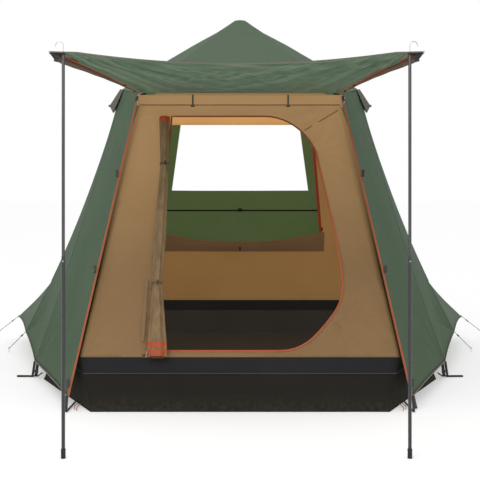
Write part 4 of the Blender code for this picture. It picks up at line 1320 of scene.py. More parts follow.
pull_top = end_wall_point(-0.528, 0.300, -1) + WALL_OUT * 0.060
pull = tube_along(
    "door_zip_pull",
    [pull_top + Vector((0.002 * math.sin(step), -0.001 * step, -0.006 * step)) for step in range(7)],
    0.0016,
    PULL_FINISH,
    3,
)
fitted(pull, "root", "rope")

# Zip sliders: small cast bodies with a hanging pull, one on the door's sill and one on each side of
# the rear opening.
SLIDER_BODY = (0.011, 0.006, 0.020)


def slider_piece(node, body, along, facing):
    """A slider's body, waisted where the teeth run in, with its hanging pull."""
    low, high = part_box(node)
    centre = (Vector(low) + Vector(high)) / 2
    bm = bmesh.new()
    bmesh.ops.create_cube(bm, size=1.0)
    bmesh.ops.scale(bm, vec=SLIDER_BODY, verts=bm.verts)
    bmesh.ops.subdivide_edges(bm, edges=bm.edges[:], cuts=2, use_grid_fill=True)
    for vert in bm.verts:
        share = vert.co.z / SLIDER_BODY[2] + 0.5
        vert.co.x *= 0.74 + 0.26 * abs(2 * share - 1) ** 1.5
    sharp = [edge for edge in bm.edges if edge.calc_face_angle(0.0) > 0.6]
    bmesh.ops.bevel(
        bm, geom=sharp, offset=0.0009, segments=2, profile=0.5, affect="EDGES", material=-1
    )
    turn = Matrix((along.cross(facing), facing, along)).transposed()
    bmesh.ops.rotate(bm, verts=bm.verts, cent=(0.0, 0.0, 0.0), matrix=turn)
    bmesh.ops.translate(bm, verts=bm.verts, vec=centre)
    made = mesh_object(f"{node}_body", bm, BLACK_RESIN, smooth=False)
    fitted(made, body, "black_resin", node)
    hang = (UP - facing * facing.z).normalized()
    pull = box_along(
        f"{node}_pull",
        centre + facing * 0.0045 - hang * 0.009,
        hang,
        facing,
        (0.005, 0.0016, 0.022),
        BLACK_RESIN,
        0.0006,
        2,
    )
    fitted(pull, body, "black_resin")


slider_piece("door_slider", "door_slider", RIGHTWARDS, WALL_OUT)
REAR_OUT = end_wall_out(1)
REAR_SIDE = {
    word: (
        end_wall_point(REAR_LINTEL[0] * side, REAR_LINTEL[1], 1)
        - end_wall_point(REAR_SILL[0] * side, REAR_SILL[1], 1)
    ).normalized()
    for word, side in SIDES.items()
}
for side_word in SIDES:
    slider_piece(
        f"rear_slider_{side_word}", f"{side_word}_rear_slider", REAR_SIDE[side_word], -REAR_OUT
    )

# Rear opening: dark red zips up its two sides, and its tan panel let down to the sill, where it
# hangs in a swag between them with a toggle in its middle.
# Painted light: the rear zips glow a little.
REAR_ZIP = tape_finish("rear_zip", (0.270, 0.046, 0.020), 0.0020, (0.14, 0.02, 0.01), teeth=0.6, light=0.35)
for side_word, side_sign in SIDES.items():
    places = [
        Vector((side_sign * (0.645 - 0.110 * share), 0.72 + 0.949 * share))
        for share in (step / 60 for step in range(61))
    ]
    flat_ribbon(
        f"rear_zip_tape_{side_word}", places, 0.022, -0.0016, REAR_ZIP, end=1, slot="orange_tape"
    )
SWAG_HALF_WIDTH = 0.66
SWAG_LAP = 0.03
SWAG_END = 0.15
SWAG_MIDDLE = 0.06
SWAG_DEPTH = 0.016
SWAG_SIDES = 48
SWAG_STEPS = 130
SWAG_TURNS = 6
REAR_UP = end_wall_up(1)
# Painted light: the lowered panel glows a little.
SWAG_CLOTH = cloth_finish(
    "lowered_panel", (0.235, 0.150, 0.080), (0.165, 0.100, 0.050), roughness=0.8, light=0.22
)


def rear_swag():
    """The lowered panel: folds that hang from both zips and sag towards the middle."""
    sill = REAR_SILL[1] * SLOPE - SWAG_LAP
    foot = end_wall_point(0.0, 0.0, 1)
    rows = []
    for step in range(SWAG_STEPS + 1):
        across = SWAG_HALF_WIDTH * (2 * step / SWAG_STEPS - 1)
        share = (across / SWAG_HALF_WIDTH) ** 2
        height = SWAG_LAP + SWAG_MIDDLE + (SWAG_END - SWAG_MIDDLE) * share
        ring = []
        for index in range(SWAG_SIDES * SWAG_TURNS):
            angle = math.tau * index / SWAG_SIDES
            grown = 0.3 + 0.7 * min(1.0, (index + SWAG_SIDES * 0.1) / (SWAG_SIDES * SWAG_TURNS))
            fold = 1.0 + 0.2 * math.cos(4 * angle) + 0.10 * math.sin(11 * angle + 4.0 * across)
            fold += 0.12 * noise.noise(Vector((across * 9.0, math.sin(angle), math.cos(angle))))
            up = sill + height / 2 * (1 - grown * math.cos(angle))
            ring.append((up, SWAG_DEPTH / 2 * math.sin(angle) * fold * grown))
        seat = INNER_THICKNESS + 0.0003 - min(depth for _, depth in ring)
        rows.append(
            [
                foot + Vector((across, 0.0, 0.0)) + REAR_UP * up - REAR_OUT * (seat + depth)
                for up, depth in ring
            ]
        )
    step = 2 * SWAG_HALF_WIDTH / SWAG_STEPS
    made = rolled_sheet("lowered_rear_panel", rows, step, 0.25 / SWAG_SIDES, SWAG_CLOTH)
    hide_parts("rear_swag")
    return made


swag = rear_swag()
swag_middle = end_wall_point(0.0, REAR_SILL[1], 1) - REAR_OUT * 0.022
swag_toggle = box_along(
    "rear_panel_toggle", swag_middle, REAR_UP, -REAR_OUT, (0.010, 0.009, 0.034), BLACK_RESIN, 0.003, 3
)
fitted(swag_toggle, "root", "black_resin")

# Fly: the outer tent of coated polyester taffeta, sewn from a roof, two sides and a rear wall.
# The frame holds its eave corners up, and its sides are pulled out to the pegs, so that every
# panel hangs a little hollow between its seams.
FLY_PASSES = 6
FLY_HOLLOW = 0.014
FLY_CORNERS = {
    "front_eave": (0.643, -0.56, 1.825),
    "side_eave": (0.82, 0.0, 1.89),
    "back_eave": (0.643, 0.56, 1.825),
    "front_hem": (0.963, -1.262, 0.08),
    "side_hem": (1.326, -0.40, 0.10),
    "side_pull": (1.54, 0.30, 0.17),
    "rear_pull": (1.74, 0.94, 0.18),
    "rear_hem": (0.95, 1.36, 0.05),
    "flap_top": (1.412, 0.55, 0.492),
}
FLY_PEAK = Vector((0.0, 0.0, 2.369))
FLY_OUTSIDE = cloth_finish(
    "fly_outside", (0.062, 0.104, 0.058), (0.076, 0.120, 0.071), 0.0, 0.72, (0.2, 0.3)
)
# Painted light: the fly's inner face glows, lighting the gap between the fly and the inner tent.
FLY_INSIDE = cloth_finish("fly_inside", (0.062, 0.095, 0.036), (0.078, 0.115, 0.045), 0.0, light=0.7)


def fly_corner(key, side):
    return mirrored(FLY_CORNERS[key], side)


HEM_CUTS = {
    ("front_hem", "side_hem"): (0.0, 0.008),
    ("side_hem", "side_pull"): (-0.004, 0.010),
    ("side_pull", "rear_pull"): (-0.006, 0.012),
    ("rear_pull", "rear_hem"): (0.0, 0.050),
}
RIDGE_DRAWS = {
    ("side_eave", "side_hem"): 0.024, ("side_eave", "flap_top"): 0.040, ("flap_top", "rear_pull"): 0.012
}


def fly_curves(side):
    """The hollow cut of one side's hems, and the inward draw of its ridges."""
    curves = []
    for (first, second), (inward, up) in HEM_CUTS.items():
        way = Vector((side * inward, 0.0, up))
        curves.append((fly_corner(first, side), fly_corner(second, side), way, 0.35))
    for (first, second), draw in RIDGE_DRAWS.items():
        way = Vector((-side * draw, 0.0, 0.0))
        curves.append((fly_corner(first, side), fly_corner(second, side), way, 0.45))
    return curves


def hem_place(point, first, second, side):
    """A point of a straight hem line, moved to the hem's hollow cut."""
    return point + drawn_in(point, fly_curves(side))


# Painted light: how far each side gore is painted paler, for how the light falls on it.
FLY_PANEL_LIGHTS = (0.0, 0.12, 0.85, 0.3, 0.0, 0.2)


def fly_side(word):
    side = SIDES[word]
    corners = {key: fly_corner(key, side) for key in FLY_CORNERS}
    gores = [
        [("front_eave", "side_eave", "side_hem"), ("front_eave", "side_hem", "front_hem")],
        [("side_eave", "flap_top", "side_hem"), ("side_hem", "flap_top", "side_pull")],
        [("flap_top", "rear_pull", "side_pull")],
        [("side_eave", "back_eave", "flap_top")],
        [("back_eave", "flap_top", "rear_hem")],
        [("flap_top", "rear_pull", "rear_hem")],
    ]
    pulls = [
        (corners["side_hem"], UP, BACKWARDS, 0.004, 0.30, 13),
        (corners["front_hem"], UP, BACKWARDS, 0.004, 0.22, 15),
        (corners["side_pull"], UP, BACKWARDS, 0.005, 0.30, 13),
        (corners["rear_pull"], UP, BACKWARDS, 0.005, 0.35, 13),
        (corners["front_eave"], DOWN, BACKWARDS, 0.003, 0.25, 17),
        (corners["back_eave"], DOWN, BACKWARDS, 0.003, 0.25, 17),
    ]
    made, area = sewn_skin(
        f"{word}_fly_side",
        corners,
        gores,
        FLY_PASSES,
        (FLY_OUTSIDE, FLY_INSIDE),
        pulls,
        FLY_HOLLOW,
        fly_curves(side),
        FLY_PANEL_LIGHTS,
    )
    fitted(made, "root", "fly_cloth")
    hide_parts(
        f"fly_front_gore_{word}", f"fly_side_gore_{word}", f"fly_rear_gore_{word}"
    )
    return made, area


for side_word in SIDES:
    skirt, skirt_area = fly_side(side_word)

ROOF_CORNERS = {
    **{
        f"{key}_{word}": fly_corner(key, side)
        for word, side in SIDES.items()
        for key in ("front_eave", "side_eave", "back_eave")
    },
    "peak": FLY_PEAK,
}
ROOF_GORES = [
    [("front_eave_left", "front_eave_right", "peak")],
    [("front_eave_right", "side_eave_right", "peak"), ("side_eave_right", "back_eave_right", "peak")],
    [("back_eave_right", "back_eave_left", "peak")],
    [("back_eave_left", "side_eave_left", "peak"), ("side_eave_left", "front_eave_left", "peak")],
]
ROOF_HOLLOW = 0.006
ROOF_SPREAD = Vector((0.036, 0.0, 0.006))
PEAK_REACH = 0.16
PEAK_SPREAD = 0.030
roof, roof_area = sewn_skin(
    "roof_cover",
    ROOF_CORNERS,
    ROOF_GORES,
    FLY_PASSES,
    (FLY_OUTSIDE, FLY_INSIDE),
    (),
    ROOF_HOLLOW,
    [
        (FLY_PEAK, fly_corner("side_eave", side), mirrored(ROOF_SPREAD, side), 0.6)
        for side in SIDES.values()
    ],
    # Painted light: the roof's gores painted paler, the front one most.
    (0.85, 0.7, 0.7, 0.7),
)
for vert in roof.data.vertices:
    away = math.hypot(vert.co.x, vert.co.y)
    if 0.001 < away < PEAK_REACH:
        vert.co.xy *= 1.0 + PEAK_SPREAD * (1.0 - away / PEAK_REACH) / away
fitted(roof, "root", "fly_cloth", "fly_roof_front", "fly_roof_back", "fly_roof_left", "fly_roof_right")

# Rear wall of the fly: one tapering panel of the same taffeta, a little hollow between its seams,
# with an open window for the view and the air.
WINDOW_HEIGHTS = (1.177, 1.68)
WINDOW_HALF_WIDTHS = (0.528, 0.445)
HEM_X, HEM_Y, HEM_Z = FLY_CORNERS["rear_hem"]
EAVE_X, EAVE_Y, EAVE_Z = FLY_CORNERS["back_eave"]
REAR_WALL_ROWS = (HEM_Z, 0.62, *WINDOW_HEIGHTS, EAVE_Z)
REAR_WALL_FACE = Vector((0.0, 0.914, 0.406))


def rear_wall_point(x, height):
    share = (height - HEM_Z) / (EAVE_Z - HEM_Z)
    return Vector((x, HEM_Y + (EAVE_Y - HEM_Y) * share, height))


def rear_wall_half_width(height):
    share = (height - HEM_Z) / (EAVE_Z - HEM_Z)
    return HEM_X + (EAVE_X - HEM_X) * share


def rear_wall():
    """The wall round its window: a frame of panels, subdivided and hollowed."""
    bm = bmesh.new()
    bm.faces.layers.int.new("panel")
    low, high = WINDOW_HEIGHTS
    rows = []
    for height in REAR_WALL_ROWS:
        half = rear_wall_half_width(height)
        share = max(0.0, min(1.0, (height - low) / (high - low)))
        inner = WINDOW_HALF_WIDTHS[0] + (WINDOW_HALF_WIDTHS[1] - WINDOW_HALF_WIDTHS[0]) * share
        rows.append([bm.verts.new(rear_wall_point(x, height)) for x in (-half, -inner, inner, half)])
    for index, (lower, upper) in enumerate(zip(rows, rows[1:])):
        for column in range(3):
            if index == 2 and column == 1:
                continue
            bm.faces.new((lower[column + 1], lower[column], upper[column], upper[column + 1]))
    for _ in range(FLY_PASSES - 1):
        bmesh.ops.subdivide_edges(bm, edges=bm.edges[:], cuts=1, use_grid_fill=True)
    hem = [rear_wall_point(x, HEM_Z) for x in (-HEM_X, HEM_X)]
    eave = [rear_wall_point(x, EAVE_Z) for x in (-EAVE_X, EAVE_X)]
    edge_lines = [hem, eave, *zip(hem, eave)]
    bm.normal_update()
    for vert in bm.verts:
        near = nearest_line(vert.co, edge_lines)
        share = 1.0 - math.exp(-near / FLY_HOLLOW_REACH)
        lift = -FLY_HOLLOW * share + 0.006 * noise.noise(vert.co * 3.0) * share
        vert.co += vert.normal * lift
    finishes = (FLY_OUTSIDE, FLY_INSIDE)
    made, area = cut_cloth("rear_fly_wall", bm, [REAR_WALL_FACE], finishes, FLY_THICKNESS)
    fitted(made, "root", "fly_cloth", "fly_back")


rear_wall()

# Fly's trims: orange zip tapes down its front edges with their toggles, grey bindings on its hems,
# a webbing line across its rear wall, and the pleated hoods that shade the side vents.
FRONT_ZIP = tape_finish(
    "front_zip", (0.43, 0.110, 0.045), 0.0020, (0.24, 0.06, 0.03), teeth=0.55, dirt=0.15
)
HEM_BINDING = tape_finish("hem_binding", (0.150, 0.132, 0.105), 0.0016)
BLACK_WEBBING = tape_finish("black_webbing", (0.016, 0.016, 0.017), 0.0024, (0.03, 0.03, 0.03))
ZIP_TOGGLES = (0.290, 0.610, 0.960)


def straight(first, second, step=0.02):
    count = max(2, round((second - first).length / step))
    return [first.lerp(second, number / count) for number in range(count + 1)]


def towards(direction, way):
    """The direction at unit length, turned round if it points away from the other."""
    unit = direction.normalized()
    return -unit if unit.dot(way) < 0 else unit


def small_block(name, centre, along, facing, size, body="root", finish=None):
    made = box_along(name, centre, along, facing, size, finish or BLACK_RESIN, min(size) * 0.28, 3)
    fitted(made, body, "black_resin")
    return made


for side_word, side_sign in SIDES.items():
    top, foot = fly_corner("front_eave", side_sign), fly_corner("front_hem", side_sign)
    run = (foot - top).normalized()
    inwards = Vector((-side_sign, 0.0, 0.0))
    facing = towards(run.cross(inwards), FORWARDS)
    beside = facing.cross(run).normalized()
    points = [point + inwards * 0.005 for point in straight(top + run * 0.03, foot)]
    ribbon(
        f"front_zip_tape_{side_word}", points, beside, facing, 0.0115, 0.002, FRONT_ZIP, slot="orange_tape"
    )
    for number, share in enumerate(ZIP_TOGGLES):
        centre = top.lerp(foot, share) - inwards * 0.014 + facing * 0.006
        lean = (run + inwards * 0.25).normalized()
        small_block(
            f"front_zip_toggle_{side_word}_{number + 1}", centre, lean, lean.cross(beside).normalized(),
            (0.018, 0.012, 0.044),
        )

FLY_SEAMS = (("side_eave", "side_hem"), ("flap_top", "side_pull"), ("side_eave", "flap_top"))
FLY_SEAM = tape_finish("fly_seam", (0.088, 0.128, 0.082), 0.0016)
for side_word, side_sign in SIDES.items():
    for first, second in FLY_SEAMS:
        start, end = fly_corner(first, side_sign), fly_corner(second, side_sign)
        out = Vector((side_sign, -0.25, 0.45)).normalized()
        points = [hem_place(point, first, second, side_sign) for point in straight(start, end)]
        beside = (end - start).cross(out).normalized()
        ribbon(
            f"{first}_{second}_seam_{side_word}",
            points[1:-1],
            beside,
            towards(beside.cross(end - start), out),
            0.009,
            0.0022,
            FLY_SEAM,
            slot="fly_cloth",
        )

HEM_RUN = ("front_hem", "side_hem", "side_pull", "rear_pull", "rear_hem")
for side_word, side_sign in SIDES.items():
    for first, second in zip(HEM_RUN, HEM_RUN[1:]):
        start, end = fly_corner(first, side_sign), fly_corner(second, side_sign)
        out = towards((end - start).cross(UP), RIGHTWARDS * side_sign)
        points = [hem_place(point, first, second, side_sign) for point in straight(start, end)]
        ribbon(
            f"{first}_binding_{side_word}",
            [point + Vector((0.0, 0.0, 0.004)) for point in points],
            UP,
            out,
            0.010,
            0.0022,
            HEM_BINDING,
            slot="fly_cloth",
        )
LINE_HEIGHT = 1.026
LINE_STAND = 0.024
REAR_WALL_OUT = Vector((0.0, 1.775, 0.80)).normalized()
line_ends = [rear_wall_point(x, LINE_HEIGHT) - REAR_WALL_OUT * LINE_STAND for x in (-0.76, 0.76)]
ribbon(
    "rear_webbing_line",
    straight(*line_ends),
    REAR_WALL_OUT.cross(RIGHTWARDS).normalized(),
    -REAR_WALL_OUT,
    0.012,
    0.0018,
    BLACK_WEBBING,
)
small_block(
    "rear_webbing_loop",
    line_ends[0].lerp(line_ends[1], 0.5) - REAR_WALL_OUT * 0.006 + Vector((0.0, 0.0, 0.006)),
    RIGHTWARDS,
    -REAR_WALL_OUT,
    (0.026, 0.006, 0.036),
)

HOOD_HALF_LENGTH = 0.11
HOOD_REACH = 0.078
HOOD_DROP = 0.112
HOOD_CHEEK_DROP = 0.172
HOOD_THICKNESS = 0.0016
HOOD_PLEATS = 4.0
HOOD_CLOTH = cloth_finish("hood_cloth", (0.155, 0.150, 0.130), (0.115, 0.110, 0.095), 0.0, 0.75)


def hood(word):
    """A gathered hood: a ridge on the side eave, drawn out to a stiff tip, with two pleated cheeks."""
    side = SIDES[word]
    ridge = fly_corner("side_eave", side)
    tip = ridge + Vector((side * HOOD_REACH, 0.0, -HOOD_DROP))
    run = (fly_corner("side_hem", side) - ridge).normalized()
    lower = ridge + run * HOOD_CHEEK_DROP + Vector((side * 0.004, 0.03, 0.0))
    bm = bmesh.new()
    bm.faces.layers.int.new("panel")
    stand = Vector((side * 0.004, 0.0, 0.003))
    eaves = [fly_corner(f"{end}_eave", side) for end in ("front", "back")]
    roots = [ridge + (eave - ridge).normalized() * HOOD_HALF_LENGTH + stand for eave in eaves]
    strips = [
        (roots[0], ridge + stand),
        (ridge + stand, roots[1]),
        (lower + Vector((0.0, -0.03, 0.0)), roots[0]),
        (roots[1], lower + Vector((0.0, 0.01, 0.0))),
    ]
    across, along = 22, 14
    for first, second in strips:
        grid = []
        for row in range(along + 1):
            share = row / along
            line = []
            for column in range(across + 1):
                place = first.lerp(second, column / across).lerp(tip, share)
                wave = math.sin(math.tau * column / across * HOOD_PLEATS)
                wave *= (1.0 - share) * min(1.0, share * 5.0)
                line.append(bm.verts.new(place + Vector((side * 0.0025 * wave, 0.0, 0.001 * wave))))
            grid.append(line)
        for upper, below in zip(grid, grid[1:]):
            for column in range(across):
                bm.faces.new((upper[column], upper[column + 1], below[column + 1], below[column]))
    bmesh.ops.remove_doubles(bm, verts=bm.verts[:], dist=0.0004)
    bmesh.ops.recalc_face_normals(bm, faces=bm.faces)
    face_way = Vector((side, 0.0, 0.4)).normalized()
    made, area = cut_cloth(f"vent_hood_{word}", bm, [face_way], (HOOD_CLOTH,), HOOD_THICKNESS, 0)
    fitted(made, "root", "hood_cloth", f"eave_hood_{word}")
    knob = small_block(
        f"vent_hood_tip_{word}",
        tip,
        Vector((side, 0.0, -1.2)).normalized(),
        BACKWARDS,
        (0.012, 0.012, 0.016),
    )


for side_word in SIDES:
    hood(side_word)

# Corner straps: webbing with buckles that holds the fly's side corners to rings at the ground, and
# short straps and cords at the tub's front corners.
RING_RADIUS = 0.013


def strap(name, start, end, across, facing, width):
    return ribbon(name, straight(start, end, 0.01), across, facing, width, 0.0018, BLACK_WEBBING)


def ground_ring(name, centre):
    """A steel ring that lies at the foot of the straps."""
    points = [
        centre + Vector((RING_RADIUS * math.cos(angle), RING_RADIUS * math.sin(angle), 0.0))
        for angle in (math.tau * step / 24 for step in range(25))
    ]
    made = tube_along(name, points, 0.002, BRIGHT_STEEL, 3)
    fitted(made, "root", "bright_steel")


for side_word, side_sign in SIDES.items():
    corner = fly_corner("side_hem", side_sign)
    ring = Vector((side_sign * 1.318, -0.405, 0.006))
    ground_ring(f"corner_ring_{side_word}", ring)
    outwards = RIGHTWARDS * side_sign
    peg_end = Vector((side_sign * 1.425, -0.40, 0.006))
    front = fly_corner("front_hem", side_sign)
    front_foot = Vector((side_sign * 0.962, -1.300, 0.004))
    tilted, tilted_out = Vector((0.0, 0.6, 0.8)), Vector((0.0, -0.8, 0.6))
    main = strap(
        f"corner_strap_outer_{side_word}",
        corner + Vector((0.0, -0.002, 0.004)),
        ring + outwards * 0.022,
        RIGHTWARDS,
        FORWARDS,
        0.016,
    )
    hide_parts(f"corner_strap_{side_word}")
    inner_top = corner + Vector((-side_sign * 0.030, -0.060, 0.0))
    strap(f"corner_strap_inner_{side_word}", inner_top, ring, RIGHTWARDS, FORWARDS, 0.020)
    tub_side = Vector((side_sign * 1.262, -0.47, 0.045))
    tub_end = ring - outwards * 0.010
    strap(f"tub_corner_strap_{side_word}", tub_side, tub_end, RIGHTWARDS, FORWARDS, 0.014)
    strap(
        f"corner_peg_strap_{side_word}", ring, peg_end, tilted.normalized(), tilted_out.normalized(), 0.014
    )
    small_block(
        f"corner_buckle_{side_word}",
        corner.lerp(ring, 0.62) + Vector((-side_sign * 0.010, -0.022, 0.0)),
        (ring - corner).normalized(),
        FORWARDS,
        (0.024, 0.007, 0.020),
    )
    hook_place = peg_end + outwards * 0.004
    small_block(
        f"corner_peg_hook_{side_word}", hook_place, RIGHTWARDS, FORWARDS, (0.014, 0.010, 0.026)
    )
    front_top = front + UP * 0.006
    strap(f"front_hem_strap_{side_word}", front_top, front_foot, RIGHTWARDS, FORWARDS, 0.014)
    tub_front = Vector((side_sign * 0.948, -1.075, 0.006))
    strap(f"front_tub_strap_{side_word}", tub_front, front_foot, RIGHTWARDS, UP, 0.012)
    for number, (x, reach) in enumerate(((0.926, 0.10), (0.908, 0.115))):
        cord_top = Vector((side_sign * x, -1.135 - 0.02 * number, 0.012))
        tail = tube_along(
            f"front_corner_cord_{side_word}_{number + 1}",
            [
                cord_top
                + Vector((side_sign * 0.010 * math.sin(3.0 * share), -reach * share, -0.008 * share))
                for share in (step / 12 for step in range(13))
            ],
            0.0028,
            PULL_FINISH,
            3,
        )
        fitted(tail, "root", "rope")

# Awning: one fly-cloth sheet from the front eave to two poles, with webbing corners. Its hem and
# sides are cut hollow, so that it pulls tight, and soft folds fan out from its corners.
AWNING_EAVE_HALF_WIDTH = 0.637
AWNING_TIP_HALF_WIDTH = 0.875
AWNING_LENGTH = 1.60
AWNING_SIDE_INSET = 0.02
AWNING_CUT_BACK = 0.11
AWNING_CORNER_HEIGHT = 1.90
AWNING_SAG = 0.045
AWNING_BELLY = 0.02
AWNING_FOLD = 0.019
AWNING_COLUMNS = 150
AWNING_ROWS = 110
EAVE_LINE = -0.5603
EAVE_HEIGHT = 1.825
AWNING_DRIFT = -0.016
PATCH_SHARE = 0.85
PATCH_ROW = 0.955
CLOTH_BELOW = 0.0004


def awning_point(u, v):
    """The awning's upper surface at u across, -1 to 1, and v from the eave to the hem."""
    half_width = AWNING_EAVE_HALF_WIDTH + (AWNING_TIP_HALF_WIDTH - AWNING_EAVE_HALF_WIDTH) * v
    half_width -= AWNING_SIDE_INSET * math.sin(math.pi * v)
    reach = AWNING_LENGTH - AWNING_CUT_BACK * (1 - u * u) * v
    across = min(abs(u) / PATCH_SHARE, 1.0)
    along = min(v / PATCH_ROW, 1.0)
    loose = 1 - across**2
    height = EAVE_HEIGHT + (AWNING_CORNER_HEIGHT - AWNING_SAG * loose - EAVE_HEIGHT) * along
    height -= AWNING_BELLY * math.sin(math.pi * along) * loose
    return Vector((u * half_width + AWNING_DRIFT * v, EAVE_LINE - v * reach, height - CLOTH_BELOW))


def awning_fold(point):
    """Folds that fan out from both front corners, and a slack ripple along the eave seam."""
    lift = 0.0
    for side in SIDES.values():
        corner = Vector((side * 0.83, -2.14, 0.0))
        away = Vector((point.x - corner.x, point.y - corner.y, 0.0))
        distance = away.length
        angle = math.atan2(-side * away.x, away.y)
        fade = math.exp(-distance / 0.75) * min(1.0, (distance / 0.30) ** 2)
        wave = math.sin(17.0 * angle + 1.5) + 0.6 * math.sin(37.0 * angle + 0.4)
        wave += 0.35 * math.sin(71.0 * angle + 2.0)
        lift += AWNING_FOLD * fade * wave
        root = Vector((side * 0.60, -0.60, 0.0))
        away = Vector((point.x - root.x, point.y - root.y, 0.0))
        angle = math.atan2(-side * away.x, -away.y)
        fade = math.exp(-away.length / 0.35) * min(1.0, away.length / 0.10)
        lift += 0.5 * AWNING_FOLD * fade * math.sin(11.0 * angle + 0.7)
    lift += 0.006 * noise.noise(Vector((point.x * 2.2, point.y * 4.5, 0.3)))
    return lift


def awning_height_room(u, v):
    """How free the cloth is to move: nothing at its edges and over the pole's corner patch."""
    edge = min(1.0 - abs(u), v, (1.0 - v) * 0.35)
    patch = max(0.0, 1.0 - max(0.0, (PATCH_SHARE - abs(u)) / 0.25)) if v > 0.8 else 0.0
    return max(0.0, min(1.0, edge / 0.06)) * (1.0 - patch * max(0.0, (v - 0.8) / 0.155))


def folded_point(u, v):
    """The awning's folded surface at u across and v from the eave to the hem."""
    point = awning_point(u, v)
    point.z += awning_fold(point) * awning_height_room(u, v)
    return point


def awning():
    bm = bmesh.new()
    bmesh.ops.create_grid(bm, x_segments=AWNING_COLUMNS, y_segments=AWNING_ROWS, size=1.0)
    for vert in bm.verts:
        u, v = vert.co.x, (vert.co.y + 1.0) / 2.0
        vert.co = folded_point(u, v)
    bm.normal_update()
    if bm.faces[:][0].normal.z < 0:
        bmesh.ops.reverse_faces(bm, faces=bm.faces[:])
    bm.faces.layers.int.new("panel")
    finishes = (FLY_OUTSIDE, AWNING_UNDERSIDE)
    return cut_cloth("awning_canopy", bm, [UP], finishes, FLY_THICKNESS, way_up=FORWARDS)


# Painted light: the awning's underside is painted paler than the fly's inner face and glows, for daylight
# through the cloth. Its fans paint light and shade over the folds at its front corners.
AWNING_UNDERSIDE = cloth_finish(
    "awning_underside", (0.122, 0.186, 0.120), (0.142, 0.208, 0.138), 0.0, light=0.16,
    fans=((0.80, -2.22, 0.6), (-0.84, -2.22, 0.1)),
)
canopy, canopy_area = awning()
fitted(canopy, "awning", "fly_cloth", "awning")

# Awning's trims: a grey-brown binding on its hem, orange piping and a hanging flap down each side,
# black webbing at its corners with a buckle, and small clips along its sides.
# Painted light: the piping and the flap glow a little.
PIPING = tape_finish("awning_piping", (0.46, 0.105, 0.040), 0.0016, dirt=0.1, light=0.05)
AWNING_FLAP = tape_finish("awning_flap", (0.175, 0.125, 0.090), 0.0016, light=0.10)
FLAP_DROP = 0.036
FLAP_THICKNESS = 0.0012


def edge_points(side, inset, count=60, start=0.02, end=0.985):
    """Points below the awning's side edge, from the eave to the tip."""
    shares = [start + (end - start) * step / count for step in range(count + 1)]
    return [(share, awning_point(side * (1.0 - inset), share) + DOWN * 0.003) for share in shares]


def side_flap(name, side):
    """A flap sewn under the side edge, deepest at the tip and running out at the eave."""
    bm = bmesh.new()
    layer = bm.loops.layers.uv.new("cut")
    rows = []
    length = 0.0
    before = None
    for share, point in edge_points(side, 0.004):
        length += (point - before).length if before else 0.0
        before = point.copy()
        drop = 0.003 + FLAP_DROP * share**1.3 * min(1.0, (0.985 - share) / 0.07)
        ripple = 0.003 * math.sin(34.0 * share) * share
        low = point + Vector((side * (0.004 + ripple), 0.0, -drop))
        rows.append((bm.verts.new(point), bm.verts.new(low), length))
    for (top, low, start), (top_after, low_after, end) in zip(rows, rows[1:]):
        face = bm.faces.new((top, low, low_after, top_after))
        places = ((start, 0.5), (start, -0.5), (end, -0.5), (end, 0.5))
        for loop, place in zip(face.loops, places):
            loop[layer].uv = place
    made = mesh_object(name, bm, AWNING_FLAP)
    thickened(made, FLAP_THICKNESS, offset=0.0)
    fitted(made, "awning", "fly_cloth")
    return made


for side_word, side_sign in SIDES.items():
    places = edge_points(side_sign, 0.016, end=0.975)
    ribbon(
        f"awning_piping_{side_word}",
        [point for _, point in places],
        RIGHTWARDS,
        DOWN,
        0.016,
        0.002,
        PIPING,
        body="awning",
        slot="orange_tape",
    )
    side_flap(f"awning_flap_{side_word}", side_sign)
    for number, share in enumerate((0.10, 0.26)):
        centre = awning_point(side_sign * 0.985, share) + DOWN * 0.010
        small_block(
            f"awning_clip_{side_word}_{number + 1}", centre, BACKWARDS, DOWN,
            (0.011, 0.008, 0.022), "awning",
        )
hem_points = [awning_point(step / 60.0, 1.0) for step in range(-59, 60)]
ribbon(
    "awning_hem_binding",
    [point + Vector((0.0, -0.0015, -0.003)) for point in hem_points],
    UP,
    FORWARDS,
    0.006,
    0.0016,
    HEM_BINDING,
    body="awning",
    slot="fly_cloth",
)
# Painted light: the eave's stitching glows a little.
EAVE_STITCH = tape_finish("eave_stitching", (0.200, 0.245, 0.185), 0.030, light=0.15)
ribbon(
    "awning_eave_seam",
    [folded_point(step / 80.0, 0.10) + DOWN * 0.003 for step in range(-68, 69)],
    BACKWARDS,
    DOWN,
    0.0045,
    0.001,
    EAVE_STITCH,
    body="awning",
    slot="fly_cloth",
)


def corner_patch(word):
    """Black webbing sewn in a fan under the awning's corner, with its ladder buckle hanging."""
    side = SIDES[word]
    tip = awning_point(side * 0.992, 0.992)
    pieces = []
    for number, (u, v) in enumerate(((0.95, 0.945), (0.93, 0.975), (0.975, 0.93))):
        end = awning_point(side * u, v)
        pieces.append(
            ribbon(
                f"awning_corner_webbing_{word}_{number + 1}",
                [point + DOWN * (0.0035 + 0.0018 * number) for point in straight(tip, end, 0.01)],
                (end - tip).cross(DOWN).normalized(),
                DOWN,
                0.022,
                0.0016,
                BLACK_WEBBING,
                body="awning",
            )
        )
    foot = tip + Vector((side * -0.020, 0.03, -0.034))
    ribbon(
        f"awning_corner_strap_{word}",
        straight(tip + DOWN * 0.004, foot, 0.008),
        RIGHTWARDS,
        FORWARDS,
        0.018,
        0.0016,
        BLACK_WEBBING,
        body="awning",
    )
    small_block(
        f"awning_corner_buckle_{word}", foot, Vector((0.3 * side, 0.0, -1.0)).normalized(),
        FORWARDS, (0.020, 0.008, 0.022), "awning",
    )


for side_word in SIDES:
    corner_patch(side_word)

